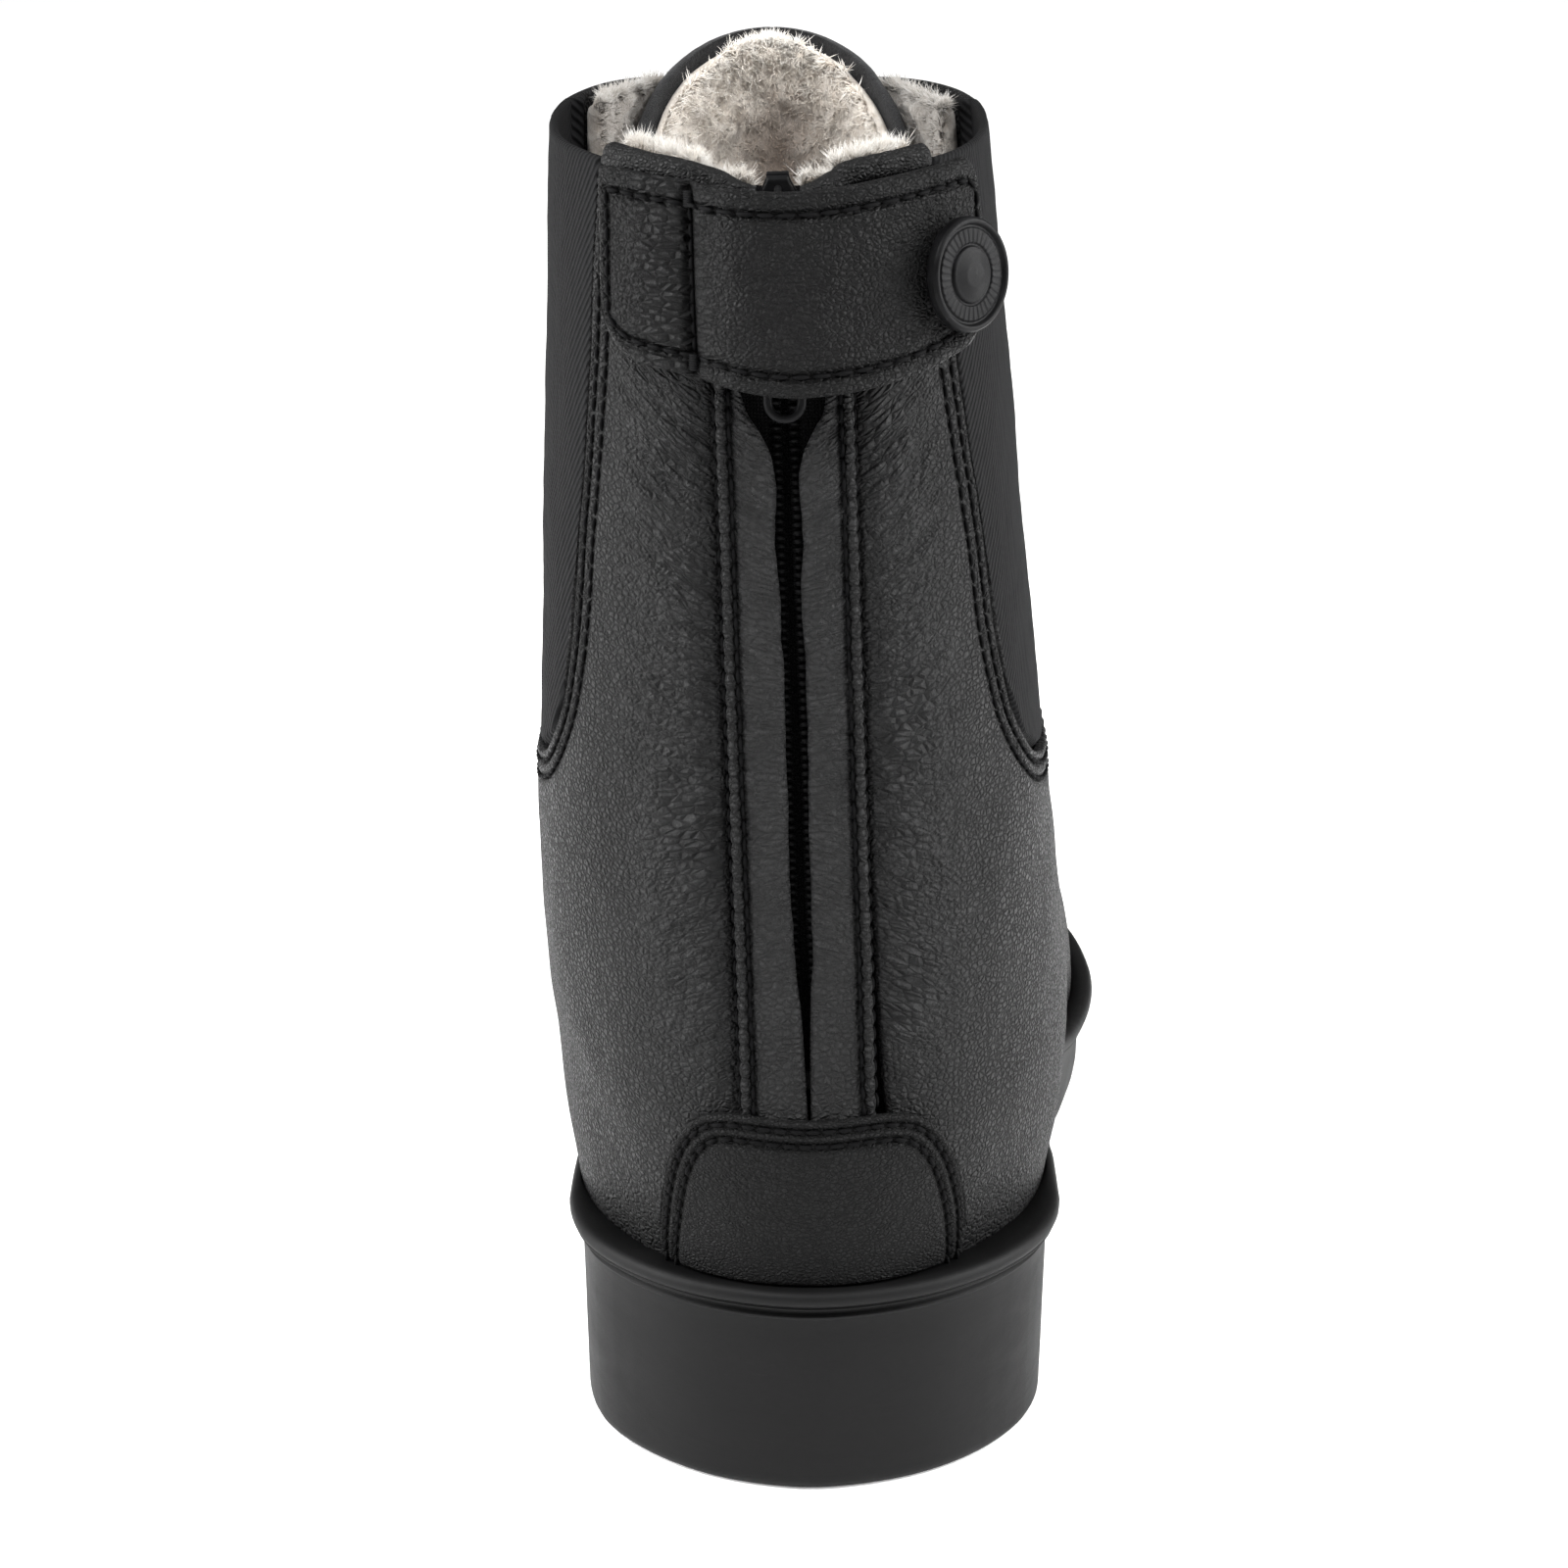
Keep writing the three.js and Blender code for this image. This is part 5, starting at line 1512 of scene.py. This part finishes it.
def in_zip(points, z):
    """Points given as (across, up, out) put at the zip's place at a height."""
    return zip_place(z) + points @ np.stack([zip_across, zip_up, zip_out])


def metal_piece(node, suffix, points, faces, body="boot", **more):
    make(f"{node}_{suffix}", points, faces, metal, body=body, replaces=[node], slot="dark_metal", **more)


def joined(parts):
    """Several (points, faces) as one."""
    points, faces, count = [], [], 0
    for p, f in parts:
        points.append(p)
        faces.append(f + count)
        count += len(p)
    return np.concatenate(points), np.concatenate(faces)


def moved(part, by):
    points, faces = part
    return points + np.array(by, float), faces


def bottom_stop():
    points, faces = block((5, 3, 1.2), 0.45)
    metal_piece("zip_bottom_stop", "metal", in_zip(points + [0, 0, -3.8], STOP_HEIGHT), faces)


def narrowed(part):
    """A slider plate, narrower towards its upper end."""
    points, faces = part
    points = points.copy()
    points[:, 0] *= 1 - 0.58 * ease(points[:, 1], 0.5, 4.6)
    return points, faces


def slider():
    """Two plates joined by a neck, with a bridge that holds the pull."""
    parts = [
        moved(narrowed(block((7.6, 10, 0.8), 0.38)), (0, 0, -5.2)),
        moved(narrowed(block((7.2, 9.6, 0.8), 0.38, taper=0.9)), (0, 0, -2.3)),
        moved(block((0.7, 3.4, 2.6), 0.25), (0, 2.6, -3.75)),
    ]
    turn = np.linspace(0.06, np.pi - 0.06, 25)
    arch = np.stack([0 * turn, -3.0 * np.cos(turn), -2.1 + 4.9 * np.sin(turn) ** 0.8], -1)
    side = np.array([1.0, 0, 0])
    ring = rings(WIRE_SIDES, side, np.cross(unit(np.gradient(arch, axis=0)), side), 0.5, 0.42)
    parts.append(((arch[:, None] + ring).reshape(-1, 3), grid_faces(len(arch), WIRE_SIDES, wrap=True)))
    points, faces = joined(parts)
    metal_piece("zip_slider", "body", in_zip(points, SLIDER_HEIGHT), faces, body="slider", solid=False)


def pull():
    """A long wire loop with a rounded end, hanging from the slider's bridge."""
    half, wire, reach = 2.35, 0.65, 26.4
    bend = np.linspace(0, np.pi, 25)
    top = np.stack([half * np.cos(bend[::-1]), 1.4 * np.sin(bend), 0 * bend], -1)
    bottom = np.stack([half * np.cos(bend), -reach - half * np.sin(bend), 0 * bend], -1)
    line = np.linspace(0, 1, 40)[1:-1, None]
    path = np.concatenate([
        top, top[-1] * (1 - line) + bottom[0] * line, bottom, bottom[-1] * (1 - line) + top[0] * line,
    ])
    way = unit(np.roll(path, -1, 0) - np.roll(path, 1, 0))
    out = np.array([0, 0, 1.0])
    points = path[:, None] + rings(WIRE_SIDES, np.cross(way, out), out, wire, 0.62) + [0, 0, 1.1]
    n = len(path)
    faces = grid_faces(n + 1, WIRE_SIDES, wrap=True) % (n * WIRE_SIDES)
    metal_piece("zip_pull", "loop", in_zip(points.reshape(-1, 3), SLIDER_HEIGHT), faces, body="pull")


# ---------- strap and snap ----------

# Across the zip line, bottom, top, stand-off of the underside.
STRAP = np.array([
    [-29.6, 170.4, 196.6, 0.5], [-24.6, 169.9, 196.5, 0.5], [-20.4, 169.5, 196.2, 0.5],
    [-16.2, 169, 195.9, 0.5], [-12.2, 168.5, 195.6, 0.55], [-9.4, 168, 195.3, 2], [-6, 167.2, 195, 4],
    [0, 166.4, 194.7, 5], [6, 166.6, 195, 4.9], [12, 167.4, 195.8, 4.5], [18, 168.5, 196.4, 4.1],
    [24, 169.8, 196.9, 3.9], [30, 171.2, 197.3, 3.8], [36, 173, 197.2, 3.4],
])
STRAP_THICK = 2.2
SNAP = (25.8, 181.3)
STRAP_SEAM = -12
# The strap bends between these places across the zip line.
STRAP_BEND = np.array([-13.6, -8.2])
ANCHOR_CORNER = 9
END_CORNER = 8


def strap_sides(w):
    """Bottom and top of the strap, with its corners rounded."""
    low, high = read(STRAP, 1, w), read(STRAP, 2, w)
    left = np.clip(1 - (w - STRAP[0, 0]) / ANCHOR_CORNER, 0, 1)
    low = low + ANCHOR_CORNER * (1 - np.sqrt(1 - left**2))
    near = np.clip(1 - (w - STRAP[0, 0]) / 3, 0, 1)
    high = high - 3 * (1 - np.sqrt(1 - near**2))
    right = np.clip(1 - (STRAP[-1, 0] - w) / END_CORNER, 0, 1)
    bend = END_CORNER * (1 - np.sqrt(1 - 0.98 * right**2))
    return low + bend * 0.8, high - bend * 0.9


def strap_lift(names, points):
    w, z = across_zip(names), names[..., 1]
    dx, dz = w - SNAP[0], z - SNAP[1]
    from_snap = np.hypot(dx, dz)
    pulled = -0.75 * bell(from_snap, 10.5)
    beam = np.arctan2(dz, dx)
    rays = noise(np.stack([3.2 * np.cos(beam), 3.2 * np.sin(beam), from_snap / 22], -1), 1.0, 3)
    folds = 0.55 * np.abs(rays) * bell(from_snap - 12.5, 5) * ease(-dx, -3, 5)
    creased = noise(np.stack([w, z, 0 * z], -1), (9, 2.1, 1), 8)
    near_seam = 0.4 * np.abs(creased) * bell(w - STRAP_SEAM + 4.5, 4.5)
    puff = 0.45 * noise(points, 9, 13) + 0.16 * noise(points, 3.2, 14)
    seam = -0.85 * bell(w - STRAP_SEAM, 0.9) + 0.25 * bell(w - STRAP_SEAM - 2.4, 1.3)
    return read(STRAP, 3, w) + STRAP_THICK + pulled + folds - near_seam + puff * 0.7 + seam


def strap_sewing():
    """Thread round the strap, and the seam with a bar at each end that holds it to the boot."""
    sewing = Sewing()

    def row(line, pitch=STITCH):
        sewing.row(line, strap_lift, pitch, THICK_THREAD)

    run = np.linspace(STRAP[0, 0] + 2.6, STRAP[-1, 0] - 2.6, 34)
    low, high = strap_sides(run)
    bottom, top = beside(run, low + 3.0), beside(run, high - 3.2)
    row(bottom)
    row(top)
    for column in (0, -1):
        row(beside(run[column], np.linspace(bottom[column, 1], top[column, 1], 6)))
    seam_z = np.linspace(*(float(v) for v in strap_sides(np.array(STRAP_SEAM))), 8)
    seam_z[0], seam_z[-1] = seam_z[0] + 1.2, seam_z[-1] - 1.2
    row(beside(STRAP_SEAM, seam_z), 2.2)
    for end_z in (seam_z[0], seam_z[-1] - 2.2):
        for k in range(7):
            names = beside(STRAP_SEAM + np.array([-0.9, 0.9]), end_z + 0.32 * k)
            ends, normals = shaft_space.place(names)
            lifted = ends + normals * (strap_lift(names, ends)[:, None] + 0.1)
            sewing.stitches(lifted[:1], lifted[1:], normals[:1], 0.24)
    return sewing


def strap():
    w = np.linspace(STRAP[0, 0], STRAP[-1, 0], 210)
    edge = np.array([0, 0.05, 0.15, 0.32, 0.55])
    w = np.unique(np.concatenate([w, STRAP[0, 0] + edge, STRAP[-1, 0] - edge]))
    low, high = strap_sides(w)
    t = spread(26, 0.28)[:, None]
    names = beside(w[None, :], low * (1 - t) + high * t)
    sewing = strap_sewing()
    leather_piece = skin_panel("strap_leather", names, strap_lift, strap_leather, thick=STRAP_THICK,
                               closed=True, round_edge=1.3, sewing=sewing, body=None,
                               replaces=["strap", "strap_anchor"], slot="leather")
    across = across_zip(names)
    share = np.clip(0.9 * bell(across + 15, 6) + 0.35, 0, 1)
    set_crease(leather_piece, share, (across, names[..., 1]))
    stitches = sewing.make("strap_thread", thread, body=None)
    hinge = shaft_space.place(beside(STRAP_BEND, 182.0))
    ends = [tuple((p + n * 2) * MM) for p, n in zip(*hinge)]
    for piece in (leather_piece, stitches):
        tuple(ends[0])
        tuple(ends[1])
        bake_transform(piece)


# Radius and height of the profiles, before their corners are rounded.
CAP = [
    [0, 0], [7.5, 0], [8.1, 0.7], [8.05, 1.9], [7.7, 2.35], [7.2, 2.35], [6.9, 1.75], [6.6, 1.75], [6.4, 2.0],
    [4.5, 2.05], [4.3, 1.8], [4.05, 1.8], [3.9, 2.2], [3.4, 2.3], [1.8, 2.75], [0.02, 2.9],
]
SOCKET = [[0.02, -0.6], [3.3, -0.6], [3.3, -1.7], [4.4, -1.7], [5, -1], [4.8, 0], [0.02, 0]]
STUD = [[0.02, 0], [4.2, 0], [4, 0.5], [1.9, 0.6], [1.8, 1.3], [1.1, 1.8], [0.02, 1.8]]
EYELET = [[2.1, -2.2], [2.8, -2.2], [2.8, 0.35], [4.1, 0.35], [4.0, 0.8], [3.3, 1.15], [2.5, 1.1], [2.1, 0.6],
          [2.1, -2.2]]


def snap():
    """Cap with a raised rim, a ticked ring and a plain dome; the socket under it; the stud on the boot."""
    places, normals = shaft_space.place(beside(np.array([SNAP[0]]), SNAP[1]))
    for node, profile, segments, offset, body in (
            ("snap_cap", rounded(CAP, 0.22, 5), 288, 6.3, "strap"),
            ("snap_socket", rounded(SOCKET, 0.2, 4), 96, 3.2, "strap"),
            ("snap_stud", rounded(STUD, 0.15, 4), 96, 0.45, "boot")):
        points, faces = turned(profile, segments)
        if node == "snap_cap":
            r = np.hypot(points[:, 0], points[:, 1])
            turn = np.arctan2(points[:, 1], points[:, 0])
            ticks = 0.14 * np.clip(np.cos(36 * turn) * 4 - 1.2, -1, 1) * bell(r - 5.45, 0.75)
            points[:, 2] += np.where(points[:, 2] > 1, ticks, 0)
        metal_piece(node, "metal", stand(points, places[0], normals[0], offset), faces, body)


def eyelets(label, side):
    points, faces = turned(rounded(EYELET, 0.25, 4), 72)
    for number, (place, normal) in enumerate(zip(*eyelet_places(side)), 1):
        metal_piece(f"eyelet_{label}_{number}", "metal", stand(points, place, normal, 0), faces)


# ---------- fleece ----------

# Depths under the boot's skin, and the thickness of a layer of pile.
PILE_BACK = 3.6
PILE_THICK = 3.2
HAIR_ROOT = 6.4


def clumps(points):
    """How far the woollen pile swells: matted lumps with smaller curls on them."""
    return 0.9 * noise(points, 4.5, 31) + 0.5 * noise(points, 2.0, 32) + 0.25 * noise(points, 1.0, 33)


def hairs(name, roots, ways, long, radius, look, body):
    """Bent, tapering hairs from roots, as one piece."""
    count = len(roots)
    sway = rng.normal(size=(count, 3)) * 0.35
    ways = unit(ways)
    middle = roots + (ways + sway * 0.4) * long[:, None] * 0.5
    tip = roots + (ways + sway * 1.1 + [0, 0, -0.15]) * long[:, None] * 0.95
    side = unit(np.cross(ways, rng.normal(size=(count, 3))))
    ring = rings(3, side, np.cross(ways, side)) * radius[:, None, None]
    points = np.concatenate([roots[:, None] + ring, middle[:, None] + ring * 0.75, tip[:, None]], 1)
    base = 7 * np.arange(count)[:, None, None]
    quads = (np.array([[0, 1, 4, 3], [1, 2, 5, 4], [2, 0, 3, 5]])[None] + base).reshape(-1, 4)
    tips = (np.array([[3, 4, 6], [4, 5, 6], [5, 3, 6], [0, 2, 1]])[None] + base).reshape(-1, 3)
    height = np.tile(np.array([0, 0, 0, 0.5, 0.5, 0.5, 1.0]), count)
    uv = np.stack([np.zeros(7 * count), height], -1)
    return make(name, points, [quads, tips], look, body=body, slot="fleece", uv=uv, solid=False)


def set_painted_shade(thing, painted_shade):
    """The share of painted shade on the pile at every point of a mesh."""
    mesh = thing.data
    points = np.empty(3 * len(mesh.vertices), np.float32)
    mesh.vertices.foreach_get("co", points)
    shares = painted_shade(points.reshape(-1, 3) / MM)
    mesh.attributes.new("painted_shade", "FLOAT", "POINT").data.foreach_set("value", shares.astype(np.float32))


def fleece_panel(node, names, offset, thick, body="boot", look=fleece):
    """A layer of pile: smooth against the leather, clumpy on the wearer's side."""
    return skin_panel(node + "_fleece", names, soft_lift(offset), look, thick=thick, closed=True,
                      round_edge=2.2, pile=clumps, body=body, replaces=[node], slot="fleece")


def pile_hairs(name, names, count, offset, body="boot", look=hair, long=(1.6, 3.0), top_share=0.55,
               side_share=0.0):
    """Hairs over the wearer's side of a lining, thickest by its upper edge (its last row)."""
    rows, columns = names.shape[:2]
    high = rng.random(count) ** 2.2
    r = (rows - 1) * (1 - high)
    r = np.where(rng.random(count) < top_share, rows - 1 - 3.0 * rng.random(count), r)
    c = (columns - 1) * rng.random(count)
    by_side = rng.random(count) < side_share
    c = np.where(by_side, (columns - 1) * (rng.random(count) > 0.5) + rng.normal(size=count) * 1.5, c)
    c = np.clip(c, 0, columns - 1)
    i, j = np.clip(r.astype(int), 0, rows - 2), np.clip(c.astype(int), 0, columns - 2)
    fr, fc = (r - i)[:, None], (c - j)[:, None]
    at = ((names[i, j] * (1 - fc) + names[i, j + 1] * fc) * (1 - fr)
          + (names[i + 1, j] * (1 - fc) + names[i + 1, j + 1] * fc) * fr)
    points, normals = shaft_space.place(at)
    by_top = np.clip(1 - (rows - 1 - r) / 12, 0, 1)
    depth = offset + clumps(points) * (1 - by_top) - 1.6 * by_top * rng.random(count)
    roots = points - normals * depth[:, None]
    up = np.array([0, 0, 1.0])
    swirl = np.stack([noise(points, 3, 41), noise(points, 3, 42), noise(points, 3, 43)], -1)
    ways = -normals * (1 - 0.55 * by_top[:, None]) + up * (0.25 + 0.9 * by_top[:, None]) + swirl * 1.1
    ways = ways + rng.normal(size=(count, 3)) * 0.3
    length = rng.uniform(*long, count) * (1 - 0.3 * by_top)
    return hairs(name, roots, ways, length, rng.uniform(0.06, 0.11, count), look, body)


def quarter_lining(label, side):
    lower, upper = quarter_edges(side, LINING_SIDE, LINING_EDGE, top=-2.4)
    names = ruled(lower, upper, 1.1, sharp=(4,))
    fleece_panel(f"lining_quarter_{label}", names, -PILE_BACK, PILE_THICK, look=shaded_rear_fleece)
    strip = names[:, :int(names.shape[1] * 0.32)]
    strip = strip[:, np.abs(strip[-1, :, 0]) < 34.8]
    pile_hairs(f"lining_quarter_{label}_hair", strip, 13000, HAIR_ROOT, look=shaded_rear_hair, long=(1.8, 3.4))


def collar_hairs(label, side):
    """Pile that stands up behind the top of the zip."""
    names = beside(side * np.linspace(4.5, 18, 26)[None, :], np.linspace(186, 195.2, 20)[:, None])
    pile_hairs(f"collar_{label}_hair", names, 3600, HAIR_ROOT + 0.5, look=shaded_rear_hair, long=(1.6, 3.2))


def facing_lining(label, side):
    lower, upper = facing_edges(side, top=0.6)
    names = ruled(lower, upper, 0.9)
    fleece_panel(f"lining_facing_{label}", names, -PILE_BACK, PILE_THICK, look=shaded_front_fleece)
    pile_hairs(f"lining_facing_{label}_hair", names, 7000, HAIR_ROOT, look=shaded_front_hair)


# Height and half width of the tongue, seen from behind.
TONGUE = np.array([
    [95, 8], [117, 11.5], [135, 14.5], [152, 18], [168, 21], [180, 22.6], [187, 22.6],
])
TONGUE_TOP = 205.9
TONGUE_DEPTH = 9
DOME_FOOT = 182
WIDEST = TONGUE[:, 1].max()


def front_angle(x):
    """The angle whose place, pushed in to the tongue's depth, lies this far from the boot's middle."""
    angles = np.arange(180, 236, 1.0)
    points, normals = shaft_space.place(np.stack([angles, np.full(angles.shape, 186.0)], -1))
    aside = -(points - normals * TONGUE_DEPTH)[:, 0] + read(SHAFT, 1, 186.0)
    return np.sign(x) * (np.interp(np.abs(x), aside, angles) - 180)


def tongue_half(z):
    dome = np.clip((z - DOME_FOOT) / (TONGUE_TOP - DOME_FOOT), 0, 1)
    return read(TONGUE, 1, z) * np.maximum(0, 1 - dome**2.7) ** 0.5


def tongue_names(trim, top_trim, step):
    """A grid of names over the tongue, trimmed round its border."""
    low, high = TONGUE[0, 0] + trim, TONGUE_TOP - top_trim
    tall = high - DOME_FOOT
    quarter_turn = np.linspace(0, np.pi / 2, round(36 / step))
    straight = np.linspace(low, DOME_FOOT, round(87 / step), endpoint=False)
    z = np.concatenate([straight, DOME_FOOT + tall * np.sin(quarter_turn)])
    t = np.linspace(-1, 1, round(62 / step))[None, :]
    t = 0.4 * np.sin(t * np.pi / 2) + 0.6 * t
    untrimmed = np.where(z > DOME_FOOT, DOME_FOOT + (z - DOME_FOOT) * (TONGUE_TOP - DOME_FOOT) / tall, z)
    half = np.maximum(tongue_half(untrimmed) * (1 - trim / WIDEST), 0.3)
    angles = 180 + front_angle(t * half[:, None])
    return np.stack([angles, np.broadcast_to(z[:, None], angles.shape)], -1)


def hollow_shade(points):
    """Painted shade down the middle of the tongue's pile, darkest low down and fading out towards its top."""
    aside = points[:, 0] - read(SHAFT, 1, 190.0) - 1 + 1.6 * noise(points, 7, 51)
    return bell(aside, 7.5) * (1 - ease(points[:, 2] + 2 * noise(points, 6, 52), 188, 202))


def tongue():
    names = tongue_names(trim=0, top_trim=0, step=0.7)
    skin_panel("tongue_felt", names, soft_lift(-8.9, 0.1, 2.5, 3), felt, thick=1.5, closed=True,
               round_edge=0.7, body="tongue", replaces=["tongue"], slot="felt")
    names = tongue_names(trim=1.3, top_trim=2.2, step=0.8)
    pieces = [
        fleece_panel("tongue_lining", names, -10.3, 2.6, body="tongue"),
        pile_hairs("tongue_lining_hair", names, 14000, 12.4, body="tongue", long=(1.3, 2.5), top_share=0.03,
                   side_share=0.3),
    ]
    # Painted shade down the middle of the tongue's pile.
    for piece in pieces:
        set_painted_shade(piece, hollow_shade)


# ---------- everything in place ----------

for label, side in SIDES:
    gusset(label, side)
    binding(label, side)
    zip_guard(label, side)
    seam_ridge(label, side)
    zip_tape(label, side)
    zip_coil(label, side)
    eyelets(label, side)
    quarter_lining(label, side)
    collar_hairs(label, side)
    facing_lining(label, side)
zip_backing()
bottom_stop()
slider()
pull()
strap()
snap()
tongue()

KEPT = {
    "insole_board": board_look(), "toe_puff": felt, "heel_counter": felt, "shank": steel_look(),
    "lining_vamp": fleece, "lining_toe": fleece,
}
for name, look in KEPT.items():
    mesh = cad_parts[name].data
    for number in range(len(mesh.materials)):
        mesh.materials[number] = look

# ---------- studio ----------


def studio():
    mesh = bpy.data.meshes.new("studio_floor")
    wide = 6  # metres
    corners = [(-wide, -wide, 0), (wide, -wide, 0), (wide, wide, 0), (-wide, wide, 0)]
    mesh.from_pydata(corners, [], [(0, 1, 2, 3)])
    paper = bpy.data.materials.new("studio_paper")
    paper.use_nodes = True
    shader = paper.node_tree.nodes["Principled BSDF"]
    shader.inputs["Base Color"].default_value = (0.93, 0.93, 0.93, 1)
    shader.inputs["Roughness"].default_value = 1
    shader.inputs["Specular IOR Level"].default_value = 0
    shader.inputs["Emission Color"].default_value = (1, 1, 1, 1)
    shader.inputs["Emission Strength"].default_value = 0.23
    mesh.materials.append(paper)
    floor = bpy.data.objects.new("studio_floor", mesh)
    bpy.context.scene.collection.objects.link(floor)
    world = bpy.data.worlds.new("studio_world")
    world.use_nodes = True
    sky = world.node_tree.nodes["Background"]
    sky.inputs["Color"].default_value = (1, 1, 1, 1)
    sky.inputs["Strength"].default_value = 0.15
    bpy.context.scene.world = world
    lamp("left", (-0.7, 0.0, 0.35), size=0.6, power=13)
    lamp("right", (0.7, 0.0, 0.35), size=0.6, power=12)
    lamp("upper_left", (-0.35, -0.45, 0.9), size=0.1, power=7)
    lamp("upper_right", (0.45, -0.4, 0.85), size=0.1, power=4.5)
    overhead = bpy.data.lights.new("overhead", "SUN")
    overhead.angle = math.radians(110)
    overhead.energy = 1.9
    thing = bpy.data.objects.new("overhead", overhead)
    thing.rotation_euler = (0.15, 0, 0)
    bpy.context.scene.collection.objects.link(thing)


def lamp(name, place, size, power):
    """A soft square light that looks at the boot."""
    light = bpy.data.lights.new(name, "AREA")
    light.shape = "SQUARE"
    light.size = size
    light.energy = power
    thing = bpy.data.objects.new(name, light)
    thing.location = place
    thing.rotation_euler = (Vector((0, 0.05, 0.08)) - Vector(place)).to_track_quat("-Z", "Y").to_euler()
    bpy.context.scene.collection.objects.link(thing)


def camera():
    """Straight behind the boot, a little above it."""
    lens = bpy.data.cameras.new("camera")
    lens.sensor_width = 36
    lens.lens = 96.75
    lens.clip_end = 20
    thing = bpy.data.objects.new("camera", lens)
    thing.location = (0.0015, -0.6114, 0.286)
    thing.rotation_euler = (math.pi / 2 - 0.297, 0, 0.009)
    bpy.context.scene.collection.objects.link(thing)
    bpy.context.scene.camera = thing


studio()
camera()
bpy.context.scene.view_settings.view_transform = "Standard"
